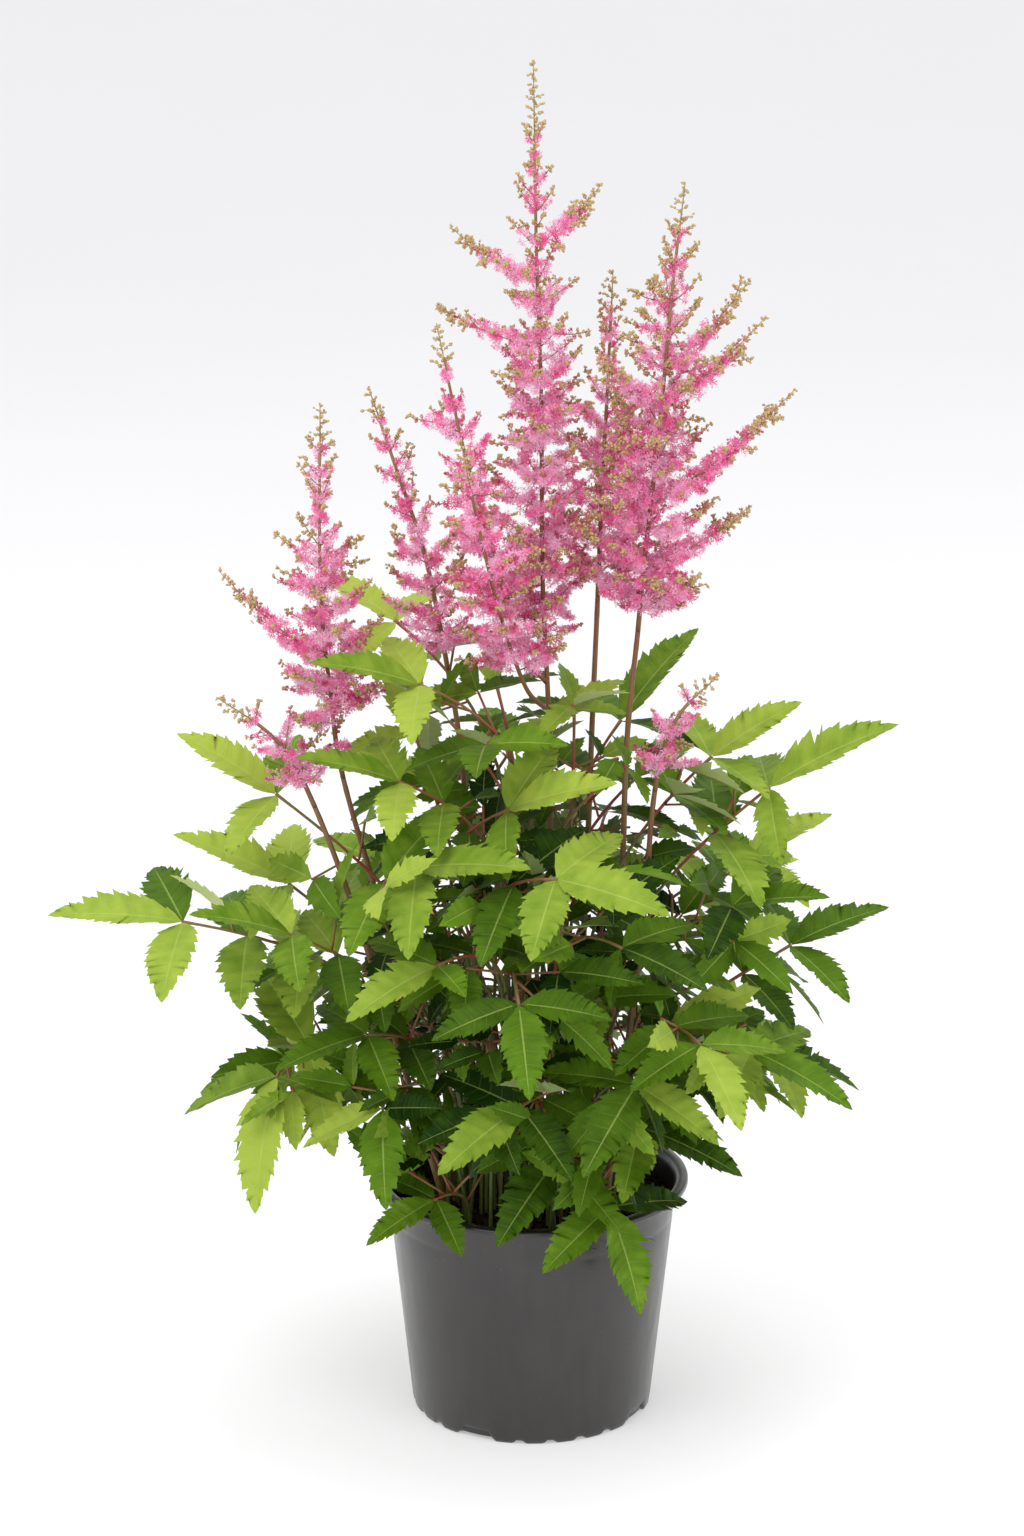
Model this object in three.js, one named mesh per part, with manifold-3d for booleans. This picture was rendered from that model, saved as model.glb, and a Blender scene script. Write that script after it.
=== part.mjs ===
// A flowering astilbe in its nursery pot: the pot, the soil, the flower stalks with their panicles,
// and the compound leaves. Millimetres, +Z up. The origin is the middle of the pot's flat
// underside, and the fuller side of the flowers faces -Y.

import * as THREE from 'three';
import { mergeVertices } from 'three/addons/utils/BufferGeometryUtils.js';
import Module from 'manifold-3d';

const wasm = await Module();
wasm.setup();

// ---------------------------------------------------------------- driving dimensions

const GAP = 0.3; // between pieces that touch
const UP = new THREE.Vector3(0, 0, 1);
const SIDE = new THREE.Vector3(1, 0, 0); // the side that the corners of a flower stem start from

const POT = {
  height: 147,
  rimRadius: 95,
  lipHeight: 4,
  topRadius: 88, // of the wall, just under the lip
  baseRadius: 72.6,
  wall: 1.6,
  floor: 2.5,
  stepDrop: 23, // from the rim down to the moulded step
  step: 0.5,
  segments: 36,
};

const NOTCH = { count: 4, first: -28, width: 23, taper: 3, height: 6, inner: 64, depth: 16 };
const SCALLOP = { count: 8, first: -13, width: 9, taper: 3, height: 1.6, inner: 70, depth: 8 };

const SOIL = {
  top: 130,
  bump: 1.6,
  bumpLengths: [9, 11], // across X and Y, over a full radian
  ringRadii: [30, 62],
  holeDepth: 8,
  collar: 4, // how far above the soil the stems stay straight
};

const STEM = { stalkRadius: 2.1, rachisRadius: 1.6, tipRadius: 0.8, steps: 6, nodeLength: 2.4 };

const PETIOLE = {
  footRadius: 1.5,
  hubRadius: 1.1,
  steps: 3,
  roomSteps: 9,
  nodeLength: 1.6, // of the stretch of stem that a side leaflet or twig grows from
  bareShare: 0.33, // of the petiole, below its first node
  bareStep: 0.06,
  rise: 0.5, // shares of the span from foot to leaf: straight up, and straight into the leaf
  lead: 0.38,
};

// The feet of the leaves stand in a clump: the lower a leaf hangs, the further out it starts.
const CLUMP = { outer: 62, inner: 20, fromHeight: 177, radiusPerHeight: 0.15, swing: 3 };

const BLADE = {
  halfWidth: 0.24, // shares of the leaflet's length, as are the fold and the droop
  fold: 0.3,
  droop: 0.16,
  widestAt: 0.38,
  taperOver: 0.56,
  ridge: 1.1, // how far the middle of each face stands out
  ridgeAlong: 0.44,
  // Two forward teeth on each side, as [share of the length, share of the half width].
  teeth: [[0.38, 1], [0.45, 0.78], [0.67, 0.68], [0.74, 0.44]],
};

// A leaf's leaflets: the pairs sit behind the end leaflet by these shares of its length, and a
// leaf with twigs carries one side twig each way, with three leaflets at its end.
const LEAF_KINDS = {
  three: { pairs: [0], twigs: [] },
  five: { pairs: [0, 0.5], twigs: [] },
  seven: { pairs: [0, 0.5, 1], twigs: [] },
  nine: { pairs: [0], twigs: [1] },
};
const PAIR = { angle: 76, length: 0.88 };
const TWIG = { angle: 64, length: 0.48, leaflet: 0.86, sideLeaflet: 0.74 };

// Florets stand out of a raceme as staggered points between a low and a high radius.
const RACEME = {
  pitch: 6.4,
  thickest: 9,
  baseThickness: 2.8,
  thicknessPerLength: 0.13,
  core: 0.4,
  coreLeast: 0.9,
  lean: 0.45, // how far a floret's tip leans along the raceme, as a share of the pitch
  lift: 0.22, // how far a raceme bends up, as a share of its length
  spikeLength: 30, // the thickness of a stem's end spike is that of a raceme of this length
  openAt: 0.3, // share of the length by which the florets stand out fully
  shutting: 0.78, // how much shorter they are at the tip
  lowRise: 24, // of the lowest and the highest racemes of a stem, in degrees
  highRise: 46,
  goldenTurn: 137.5,
};

// Spacings and reaches of the points that stand for what is placed. Kin reaches are those between
// two organs of one stem, which start next to each other: there they don't count.
const ROOM = {
  cell: 24,
  leafSpacing: 4.2,
  leafReach: 3.5,
  leafKin: 2.2,
  leafRoot: 0.3, // share of a leaflet's length
  stemSpacing: 4,
  stemReach: 3.4,
  stemKin: 1.9,
  racemeRoot: 7,
  footSpacing: 7,
  tries: 60,
};

// How much further each new try may turn, sway or shorten what is placed, in degrees, millimetres
// and shares.
const TRY = {
  racemeSwing: 0.7,
  racemeShrink: 0.008,
  petioleTries: 240,
  petioleSway: 0.25,
  footSwing: 1.5,
  footSpread: 30, // at most
  bladeSwing: 0.9,
  bladeFirstSwing: 6,
  bladeYaw: 5,
  bladeShrink: 0.006,
};

const SEEDS = { plume: 4001, plumeStep: 97, leaf: 7001, leafStep: 131 };

const COLOURS = {
  pot: { color: 0x3d3a39, roughness: 0.55 },
  soil: { color: 0x2e1f18, roughness: 0.95 },
  stalk: { color: 0x8a6a3c, roughness: 0.6 },
  panicle: { color: 0xd9709c, roughness: 0.7 },
  leaf: { color: 0x5f9a36, roughness: 0.55 },
};

// ---------------------------------------------------------------- places

// Each flower stem runs through hand-set points, from the soil to its tip. The stalk ends and the
// panicle starts at the point numbered joint. Racemes grow at evenly spaced nodes between two
// heights, in whorls, the longest at the bottom. Extra ones are [height, azimuth, length, rise],
// and branches are long side stems with racemes of their own.
const PLUMES = [
  {
    name: 'centre',
    stem: [[10, 6, 0], [11, 8, 300], [10, 8, 425], [6, 6, 520], [5, 5, 630], [2, 2, 720], [0, 0, 829]],
    joint: 2,
    nodes: { count: 15, low: 500, high: 778, whorl: 2, longest: 48, shortest: 13, turn: 200 },
    extras: [
      [700, 195, 56, 25], [668, 190, 62, 15], [715, 345, 48, 35], [640, 250, 44, 10], [620, 280, 40, 5],
      [535, 330, 40, 20], [518, 285, 44, 25], [500, 20, 34, 30],
    ],
    branches: [
      {
        height: 455,
        azimuth: 190,
        points: [[-8, -4, 480], [-22, -16, 540], [-40, -20, 605], [-56, -20, 681]],
        nodes: { count: 8, low: 520, high: 645, whorl: 2, longest: 32, shortest: 12, turn: 20 },
      },
      {
        height: 438,
        azimuth: 250,
        points: [[-4, -24, 462], [-18, -48, 510], [-30, -66, 565], [-42, -74, 626]],
        nodes: { count: 7, low: 484, high: 592, whorl: 2, longest: 30, shortest: 12, turn: 150 },
      },
    ],
  },
  {
    name: 'right',
    stem: [
      [38, 2, 0], [52, 0, 300], [56, 0, 420], [62, -3, 490], [66, -6, 540], [74, -9, 620], [80, -11, 695],
      [87, -15, 762],
    ],
    joint: 3,
    nodes: { count: 12, low: 508, high: 728, whorl: 3, longest: 52, shortest: 14, turn: 70 },
    extras: [
      [655, 350, 68, 40], [622, 335, 76, 38], [596, 345, 74, 30], [560, 350, 98, 38], [526, 5, 66, 25],
      [508, 335, 52, 50], [585, 250, 50, 20], [620, 220, 56, 25],
    ],
    branches: [],
  },
  {
    name: 'left',
    stem: [
      [-46, -3, 0], [-86, -3, 300], [-112, -5, 400], [-119, -8, 455], [-124, -12, 520], [-123, -15, 632],
    ],
    joint: 2,
    nodes: { count: 12, low: 445, high: 600, whorl: 2, longest: 38, shortest: 12, turn: 260 },
    extras: [[470, 185, 74, 40], [505, 330, 52, 45], [445, 300, 34, 20]],
    branches: [],
  },
  {
    name: 'inner_left',
    stem: [
      [-22, 14, 0], [-34, 17, 300], [-42, 18, 405], [-50, 18, 460], [-63, 16, 530], [-80, 13, 585],
      [-96, 10, 635],
    ],
    joint: 3,
    nodes: { count: 9, low: 475, high: 612, whorl: 2, longest: 32, shortest: 11, turn: 100 },
    extras: [],
    branches: [],
  },
  {
    name: 'behind',
    stem: [
      [24, 30, 0], [32, 36, 300], [36, 38, 420], [39, 38, 500], [41, 38, 560], [44, 38, 625], [47, 38, 700],
    ],
    joint: 3,
    nodes: { count: 10, low: 514, high: 672, whorl: 2, longest: 40, shortest: 12, turn: 40 },
    extras: [[514, 10, 32, 35]],
    branches: [],
  },
  {
    name: 'low_left',
    stem: [[-52, -22, 0], [-98, -26, 300], [-128, -30, 390], [-150, -33, 432], [-186, -40, 462]],
    joint: 2,
    nodes: { count: 3, low: 408, high: 444, whorl: 2, longest: 26, shortest: 15, turn: 80 },
    extras: [],
    branches: [],
  },
  {
    name: 'low_right',
    stem: [[44, -24, 0], [64, -28, 300], [72, -30, 400], [84, -34, 445], [110, -40, 476]],
    joint: 2,
    nodes: { count: 3, low: 414, high: 456, whorl: 2, longest: 26, shortest: 14, turn: 250 },
    extras: [],
    branches: [],
  },
];

// Each leaf: its name, kind, the hub where its end leaflet starts, and that leaflet's tip.
const LEAVES = [
  ['far_left', 'seven', [-208, -28, 318], [-283, -42, 336]],
  ['left_low', 'seven', [-142, -62, 322], [-196, -84, 352]],
  ['left_mid', 'five', [-146, 8, 330], [-204, 10, 376]],
  ['left_high', 'nine', [-152, -10, 392], [-206, 0, 432]],
  ['upper_left', 'five', [-78, -56, 414], [-134, -72, 440]],
  ['fan', 'five', [-66, -88, 372], [-8, -128, 396]],
  ['top_left', 'nine', [-66, -46, 470], [-122, -66, 498]],
  ['top_small', 'three', [-82, 54, 480], [-126, 84, 508]],
  ['upright_left', 'five', [-70, 10, 424], [-88, 30, 476]],
  ['upright_right', 'five', [54, 62, 416], [98, 88, 470]],
  ['right_high_in', 'five', [100, 8, 408], [146, 16, 448]],
  ['right_high', 'five', [140, -22, 400], [203, -30, 455]],
  ['right_pale', 'five', [130, 48, 330], [184, 72, 356]],
  ['right_dark', 'nine', [112, -50, 338], [164, -78, 366]],
  ['right_out', 'five', [156, 6, 292], [212, 20, 322]],
  ['right_low', 'seven', [130, -62, 250], [190, -92, 234]],
  ['right_front', 'five', [98, -104, 268], [128, -152, 246]],
  ['front_right', 'five', [60, -112, 246], [34, -166, 218]],
  ['rim_right', 'five', [64, -70, 204], [124, -94, 188]],
  ['over_rim', 'three', [46, -90, 160], [74, -114, 106]],
  ['front_low', 'three', [14, -88, 190], [-26, -134, 164]],
  ['rim_left', 'three', [-58, -76, 160], [-98, -102, 148]],
  ['hang_left', 'five', [-88, -88, 222], [-92, -130, 178]],
  ['droop_left', 'five', [-152, -46, 226], [-172, -88, 160]],
  ['front_mid', 'nine', [-8, -140, 306], [0, -190, 272]],
  ['front_high', 'five', [14, -110, 372], [76, -146, 380]],
  ['mid_right', 'nine', [52, -104, 328], [104, -142, 312]],
  ['mid_left', 'five', [-56, -112, 320], [-108, -148, 306]],
  ['low_left', 'five', [-98, -70, 262], [-152, -100, 266]],
  ['low_mid', 'seven', [-8, -112, 232], [-52, -156, 214]],
  ['high_mid', 'five', [-14, -66, 400], [42, -96, 430]],
];

// The leaves of the far side follow a rule: they fan out behind the stems in three tiers.
const FAR_LEAVES = {
  count: 10,
  from: 14,
  to: 170,
  tiers: [
    { kind: 'five', radius: 150, height: 212, reach: 64, dip: -18 },
    { kind: 'nine', radius: 136, height: 316, reach: 62, dip: 6 },
    { kind: 'five', radius: 84, height: 392, reach: 60, dip: 20 },
  ],
};

// A leaf faces up, a little outward, and a little towards the light in front.
const FACING = { outward: 0.28, front: 0.22 };

// ---------------------------------------------------------------- small helpers

const vector = (numbers) => new THREE.Vector3(...numbers);
const radians = THREE.MathUtils.degToRad;
const between = (low, high, share) => low + (high - low) * share;

function polar(radius, degrees, height) {
  const angle = radians(degrees);
  return new THREE.Vector3(radius * Math.cos(angle), radius * Math.sin(angle), height);
}

// Repeatable draws from a seed: the function returned gives a number between low and high.
function seededDraws(seed) {
  let state = seed;
  return (low, high) => {
    state = (state * 16807) % 2147483647;
    return between(low, high, state / 2147483647);
  };
}

// The part of a direction that is square to an axis, as a unit vector.
function squareTo(direction, axis) {
  return direction.clone().addScaledVector(axis, -direction.dot(axis)).normalize();
}

function turned(direction, axis, degrees) {
  return direction.clone().applyAxisAngle(axis, radians(degrees));
}

const wallRadius = (z) => between(POT.baseRadius, POT.topRadius, z / (POT.height - POT.lipHeight));

// ---------------------------------------------------------------- grown surfaces

// The four corners of a stem's section, in order about its axis from a side direction.
function corners(centre, along, side, reaches) {
  return reaches.map((reach, index) => (
    centre.clone().addScaledVector(turned(side, along, 90 * index), reach)));
}

const square = (radius) => [radius, radius, radius, radius];

// One closed surface that grows from ring to ring. A ring holds four vertex numbers in order about
// the stem; side organs start from the four corners of a face that is left open between two rings.
class Growth {
  constructor() {
    this.vertices = [];
    this.triangles = [];
  }

  ring(points) {
    const first = this.vertices.push(...points) - points.length;
    return points.map((_, index) => first + index);
  }

  point(position) {
    return this.vertices.push(position) - 1;
  }

  centre(ring) {
    const sum = ring.reduce((total, index) => total.add(this.vertices[index]), new THREE.Vector3());
    return sum.divideScalar(ring.length);
  }

  startCap([a, b, c, d]) {
    this.triangles.push([a, c, b], [a, d, c]);
  }

  endCap([a, b, c, d]) {
    this.triangles.push([a, b, c], [a, c, d]);
  }

  tipCap(ring, tip) {
    ring.forEach((corner, index) => this.triangles.push([corner, ring[(index + 1) % 4], tip]));
  }

  // Joins two rings. Faces that are open stay unskinned, and crossed ones are split the other way.
  skin(from, to, isOpen = () => false, isCrossed = () => false) {
    for (let face = 0; face < 4; face += 1) {
      const next = (face + 1) % 4;
      const [a, b, c, d] = [from[face], from[next], to[next], to[face]];
      if (isCrossed(face)) {
        this.triangles.push([a, b, d], [b, c, d]);
      } else if (!isOpen(face)) {
        this.triangles.push([a, b, c], [a, c, d]);
      }
    }
  }

  // The corners that an organ starts from on an open face.
  faceRing(from, to, face) {
    const next = (face + 1) % 4;
    return [from[next], to[next], to[face], from[face]];
  }

  // A ring's corners, turned to begin with the one that lies most in a direction.
  startingAt(ring, direction) {
    const centre = this.centre(ring);
    const looks = ring.map((corner) => this.vertices[corner].clone().sub(centre).dot(direction));
    const first = looks.indexOf(Math.max(...looks));
    return [...ring.slice(first), ...ring.slice(0, first)];
  }

  geometry() {
    return closedGeometry(this.vertices, this.triangles);
  }
}

function closedGeometry(vertices, triangles) {
  const geometry = new THREE.BufferGeometry();
  const numbers = vertices.flatMap((vertex) => vertex.toArray());
  geometry.setAttribute('position', new THREE.Float32BufferAttribute(numbers, 3));
  geometry.setIndex(triangles.flat());
  return geometry;
}

// A closed four-sided stem through stations { at, along }, with a corner towards a side.
function stemGeometry(stations, radiusAt, side) {
  const growth = new Growth();
  const rings = stations.map(({ at, along }, index) => {
    const radius = radiusAt(index / (stations.length - 1));
    return growth.ring(corners(at, along, squareTo(side, along), square(radius)));
  });
  growth.startCap(rings[0]);
  rings.slice(1).forEach((ring, index) => growth.skin(rings[index], ring));
  growth.endCap(rings.at(-1));
  return growth.geometry();
}

// ---------------------------------------------------------------- cut solids

function toSolid(geometry) {
  const bare = geometry.clone();
  bare.deleteAttribute('normal');
  bare.deleteAttribute('uv');
  const welded = mergeVertices(bare, 1e-4);
  const vertProperties = Float32Array.from(welded.attributes.position.array);
  const triVerts = Uint32Array.from(welded.index.array);
  return new wasm.Manifold(new wasm.Mesh({ numProp: 3, vertProperties, triVerts }));
}

function cut(shape, cutters) {
  const solid = cutters.map(toSolid).reduce((whole, cutter) => whole.subtract(cutter), toSolid(shape));
  const mesh = solid.getMesh();
  const geometry = new THREE.BufferGeometry();
  geometry.setAttribute('position', new THREE.BufferAttribute(mesh.vertProperties, 3));
  geometry.setIndex(new THREE.BufferAttribute(mesh.triVerts, 1));
  return geometry;
}

// ---------------------------------------------------------------- taken room

// Points { at, reach, kin } that stand for what is already placed. A stem or a leaflet is placed
// only where its own points keep clear of them, of the pot and of the soil. A point whose kin
// reach is nothing may touch others of its owner.
class Room {
  constructor() {
    this.cells = new Map();
    this.feet = [];
  }

  static cellOf(number) {
    return Math.floor(number / ROOM.cell);
  }

  add(points, owner) {
    for (const point of points) {
      const key = point.at.toArray().map(Room.cellOf).join();
      if (!this.cells.has(key)) {
        this.cells.set(key, []);
      }
      this.cells.get(key).push({ ...point, owner });
    }
  }

  near(at) {
    const [cellX, cellY, cellZ] = at.toArray().map(Room.cellOf);
    const found = [];
    for (let x = cellX - 1; x <= cellX + 1; x += 1) {
      for (let y = cellY - 1; y <= cellY + 1; y += 1) {
        for (let z = cellZ - 1; z <= cellZ + 1; z += 1) {
          found.push(...(this.cells.get([x, y, z].join()) ?? []));
        }
      }
    }
    return found;
  }

  footIsFree(foot) {
    return this.feet.every((other) => Math.hypot(other.x - foot.x, other.y - foot.y) > ROOM.footSpacing);
  }

  isFree(points, owner) {
    return points.every((point) => clearOfPot(point.at, point.reach)
      && this.near(point.at).every((taken) => !clashes(point, taken, owner)));
  }
}

function clashes(point, taken, owner) {
  if (taken.owner !== owner) {
    return point.at.distanceTo(taken.at) < point.reach + taken.reach;
  }
  const isNearRoot = point.kin === 0 || taken.kin === 0;
  return !isNearRoot && point.at.distanceTo(taken.at) < point.kin + taken.kin;
}

function clearOfPot(at, reach) {
  const radius = Math.hypot(at.x, at.y);
  if (at.z > POT.height + reach) {
    return true;
  }
  if (radius > POT.rimRadius + reach) {
    return at.z > reach;
  }
  return radius < wallRadius(SOIL.top) - POT.wall - reach && at.z > SOIL.top + SOIL.bump + reach;
}

// Points along a polyline at even steps, with what reachesAt(share) gives. The foot in the soil is
// left out.
function pointsAlong(path, reachesAt) {
  const found = [];
  for (let index = 0; index + 1 < path.length; index += 1) {
    const pieces = Math.max(1, Math.ceil(path[index].distanceTo(path[index + 1]) / ROOM.stemSpacing));
    for (let piece = 0; piece < pieces; piece += 1) {
      const at = path[index].clone().lerp(path[index + 1], piece / pieces);
      found.push({ at, ...reachesAt((index + piece / pieces) / (path.length - 1)) });
    }
  }
  return found.filter(({ at }) => at.z > SOIL.top + SOIL.collar + ROOM.stemReach);
}

function stemRoom(stations) {
  return pointsAlong(stations.map(({ at }) => at), () => ({ reach: ROOM.stemReach, kin: ROOM.stemKin }));
}

// ---------------------------------------------------------------- pot and soil

function turnedSolid(profile) {
  const points = profile.map(([radius, z]) => new THREE.Vector2(radius, z));
  return new THREE.LatheGeometry(points, POT.segments).rotateX(Math.PI / 2);
}

// A wedge that cuts the foot of the wall at one azimuth, measured from the front.
function footCutter(size, degrees) {
  const half = size.width / 2;
  const shape = new THREE.Shape();
  shape.moveTo(-half, -1);
  shape.lineTo(half, -1);
  shape.lineTo(half - size.taper, size.height);
  shape.lineTo(-half + size.taper, size.height);
  const cutter = new THREE.ExtrudeGeometry(shape, { depth: size.depth, bevelEnabled: false });
  return cutter.rotateX(Math.PI / 2).translate(0, -size.inner, 0).rotateZ(radians(degrees));
}

function footCutters(size) {
  return Array.from({ length: size.count }, (_, index) => (
    footCutter(size, size.first + (360 * index) / size.count)));
}

function potGeometry() {
  const lip = POT.height - POT.lipHeight;
  const step = POT.height - POT.stepDrop;
  const rim = POT.rimRadius;
  const body = turnedSolid([
    [0, 0],
    [POT.baseRadius - 1.2, 0],
    [POT.baseRadius, 1.5],
    [wallRadius(step) - POT.step, step],
    [wallRadius(step), step + 1],
    [POT.topRadius, lip - 0.5],
    [rim - 0.8, lip],
    [rim, lip + 1.2],
    [rim, POT.height - 1],
    [rim - 1.4, POT.height],
    [POT.topRadius + 0.4, POT.height - 0.8],
    [POT.topRadius - POT.wall, lip - 1],
    [POT.baseRadius - POT.wall, POT.floor],
    [0, POT.floor],
  ]);
  return cut(body, [...footCutters(NOTCH), ...footCutters(SCALLOP)]);
}

function soilHeight(x, y) {
  const [acrossX, acrossY] = SOIL.bumpLengths;
  return SOIL.top + SOIL.bump * Math.sin(x / acrossX + 1) * Math.cos(y / acrossY - 0.5);
}

function soilGeometry(feet) {
  const bottom = POT.floor + GAP;
  const inside = (z) => wallRadius(z) - POT.wall - 2 * GAP;
  const profile = [[0, bottom], [inside(bottom), bottom], [inside(SOIL.top), SOIL.top]];
  const rings = SOIL.ringRadii.map((radius) => [radius, SOIL.top]).reverse();
  const body = turnedSolid([...profile, ...rings, [0, SOIL.top]]);
  const position = body.attributes.position;
  const outer = inside(SOIL.top) - 1;
  for (let index = 0; index < position.count; index += 1) {
    const [x, y, z] = [position.getX(index), position.getY(index), position.getZ(index)];
    if (z > SOIL.top - 1 && Math.hypot(x, y) < outer) {
      position.setZ(index, soilHeight(x, y));
    }
  }
  return cut(body, feet.map(stemHole));
}

function stemHole({ foot, radius, side }) {
  const width = radius + GAP * Math.SQRT2;
  const heights = [foot.z - GAP, SOIL.top + 3 * SOIL.bump];
  const stations = heights.map((z) => ({ at: new THREE.Vector3(foot.x, foot.y, z), along: UP }));
  return stemGeometry(stations, () => width, side);
}

// ---------------------------------------------------------------- curves

const smoothCurve = (points) => new THREE.CatmullRomCurve3(points, false, 'catmullrom', 0.5);

const stationAt = (curve, share) => ({ at: curve.getPoint(share), along: curve.getTangent(share) });

// Stations along a curve from one share of it to another.
function stationsOn(curve, from, to, steps) {
  return Array.from({ length: steps + 1 }, (_, index) => stationAt(curve, between(from, to, index / steps)));
}

// The share of a rising curve at which it reaches a height.
function shareAtHeight(curve, height) {
  const steps = 400;
  for (let index = 0; index <= steps; index += 1) {
    if (curve.getPoint(index / steps).z >= height) {
      return index / steps;
    }
  }
  return 1;
}

// ---------------------------------------------------------------- flowers

// The middle line of a raceme: out from the stem at its rise from square to it, then bending up.
function racemePath(origin, along, { azimuth, length, rise }) {
  const start = squareTo(polar(1, azimuth, 0), along).multiplyScalar(Math.cos(radians(rise)))
    .addScaledVector(along, Math.sin(radians(rise)));
  const steps = Math.max(3, Math.round(length / RACEME.pitch));
  return Array.from({ length: steps + 1 }, (_, index) => {
    const share = index / steps;
    const lift = RACEME.lift * length * share ** 2;
    return origin.clone().addScaledVector(start, length * share).addScaledVector(UP, lift);
  });
}

// How far the florets reach from the middle line: a bare start, full at a third, buds at the end.
function floretReach(length, share) {
  const full = Math.min(RACEME.thickest, RACEME.baseThickness + RACEME.thicknessPerLength * length);
  const open = Math.min(1, share / RACEME.openAt);
  const shut = 1 - RACEME.shutting * Math.max(0, (share - RACEME.openAt) / (1 - RACEME.openAt));
  return Math.max(1, full * open * shut);
}

// A raceme's points. Its root, of a length of its own, may touch its kin.
function racemeRoom(path, length, root) {
  return pointsAlong(path, (share) => {
    const reach = floretReach(length, share) + 0.5;
    return { reach, kin: share * length < root ? 0 : reach };
  });
}

// Grows a raceme from an open ring along its middle line: every second corner is a floret's tip.
function growRaceme(growth, start, path, length) {
  let ring = start;
  let side = growth.vertices[start[0]].clone().sub(growth.centre(start));
  const last = path.length - 1;
  for (let row = 1; row < last; row += 1) {
    const along = path[row + 1].clone().sub(path[row - 1]).normalize();
    side = squareTo(side, along);
    const reach = floretReach(length, row / last);
    const core = Math.max(RACEME.coreLeast, reach * RACEME.core);
    const isTip = (corner) => (row + corner) % 2 === 0;
    const reaches = [0, 1, 2, 3].map((corner) => (isTip(corner) ? reach : core));
    const points = corners(path[row], along, side, reaches);
    const tips = points.filter((_, corner) => isTip(corner));
    tips.forEach((tip) => tip.addScaledVector(along, RACEME.lean * RACEME.pitch));
    const next = growth.ring(points);
    growth.skin(ring, next, () => false, (face) => row > 1 && (row + face) % 2 === 1);
    ring = next;
  }
  growth.tipCap(ring, growth.point(path[last]));
}

// The nodes of a stem from the lowest up, each with the branches and racemes asked for there, the
// hand-set ones first.
function organsByNode({ nodes, extras = [], branches = [] }) {
  const heights = Array.from({ length: nodes.count }, (_, index) => (
    between(nodes.low, nodes.high, index / (nodes.count - 1))));
  heights.push(...branches.map(({ height }) => height));
  heights.sort((a, b) => a - b);
  const found = heights.map((height) => ({ height, organs: [] }));
  const nearest = (height) => found.reduce((best, node) => (
    Math.abs(node.height - height) < Math.abs(best.height - height) ? node : best));
  branches.forEach((branch) => nearest(branch.height).organs.push({ azimuth: branch.azimuth, branch }));
  extras.forEach(([height, azimuth, length, rise]) => nearest(height).organs.push({ azimuth, length, rise }));
  found.forEach(({ height, organs }, index) => {
    const share = (height - nodes.low) / (nodes.high - nodes.low);
    for (let turn = 0; turn < nodes.whorl && share >= 0; turn += 1) {
      const azimuth = nodes.turn + RACEME.goldenTurn * index + (360 * turn) / nodes.whorl;
      const length = between(nodes.longest, nodes.shortest, share);
      organs.push({ azimuth, length, rise: between(RACEME.lowRise, RACEME.highRise, share) });
    }
  });
  return found;
}

// The face between two rings of a stem that looks most towards an azimuth.
function faceTowards(growth, from, to, azimuth) {
  const middle = growth.centre([...from, ...to]);
  const looks = [0, 1, 2, 3].map((face) => (
    growth.centre(growth.faceRing(from, to, face)).sub(middle).dot(polar(1, azimuth, 0))));
  return looks.indexOf(Math.max(...looks));
}

// Turns and shortens a raceme until it is clear of everything else, or gives nothing.
function placedRaceme(room, origin, along, owner, { azimuth, length, rise }, draw) {
  for (let attempt = 0; attempt < ROOM.tries; attempt += 1) {
    const swing = attempt * TRY.racemeSwing;
    const size = length * (1 - TRY.racemeShrink * attempt);
    const raceme = { azimuth: azimuth + draw(-swing, swing), length: size, rise: rise + draw(-swing, swing) };
    const path = racemePath(origin, along, raceme);
    const points = racemeRoom(path, size, ROOM.racemeRoot);
    if (room.isFree(points, owner)) {
      room.add(points, owner);
      return { path, size };
    }
  }
  return null;
}

// The florets at a stem's end, past its last node, as a middle line.
function spikePath(curve, organs) {
  const from = shareAtHeight(curve, organs.at(-1).height) + STEM.nodeLength / curve.getLength();
  const steps = Math.max(4, Math.round(((1 - from) * curve.getLength()) / RACEME.pitch));
  return stationsOn(curve, from, 1, steps).map(({ at }) => at);
}

function takeAxisRoom(room, curve, organs, owner) {
  const spike = spikePath(curve, organs);
  const bareTo = shareAtHeight(curve, spike[0].z);
  room.add(stemRoom(stationsOn(curve, 0, bareTo, 4 * STEM.steps)), owner);
  room.add(racemeRoom(spike, RACEME.spikeLength, 0), owner);
}

// Grows a stem from a ring through its nodes to its spike of florets, with all its side organs.
function growRachis(growth, room, start, curve, from, organs, owner, draw) {
  const radiusAt = (share) => between(STEM.rachisRadius, STEM.tipRadius, (share - from) / (1 - from));
  const half = STEM.nodeLength / 2 / curve.getLength();
  let ring = start;
  let side = growth.vertices[start[0]].clone().sub(growth.centre(start));
  const ringAt = (share) => {
    const { at, along } = stationAt(curve, share);
    side = squareTo(side, along);
    return growth.ring(corners(at, along, side, square(radiusAt(share))));
  };
  for (const node of organs) {
    const share = shareAtHeight(curve, node.height);
    const below = ringAt(share - half);
    growth.skin(ring, below);
    ring = ringAt(share + half);
    const grown = new Set();
    for (const organ of node.organs) {
      const face = faceTowards(growth, below, ring, organ.azimuth);
      const root = growth.faceRing(below, ring, face);
      if (!grown.has(face) && growSide(growth, room, root, curve.getTangent(share), organ, owner, draw)) {
        grown.add(face);
      }
    }
    growth.skin(below, ring, (face) => grown.has(face));
  }
  growRaceme(growth, ring, spikePath(curve, organs), RACEME.spikeLength);
}

const branchCurve = (root, branch) => smoothCurve([root, ...branch.points.map(vector)]);

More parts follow.
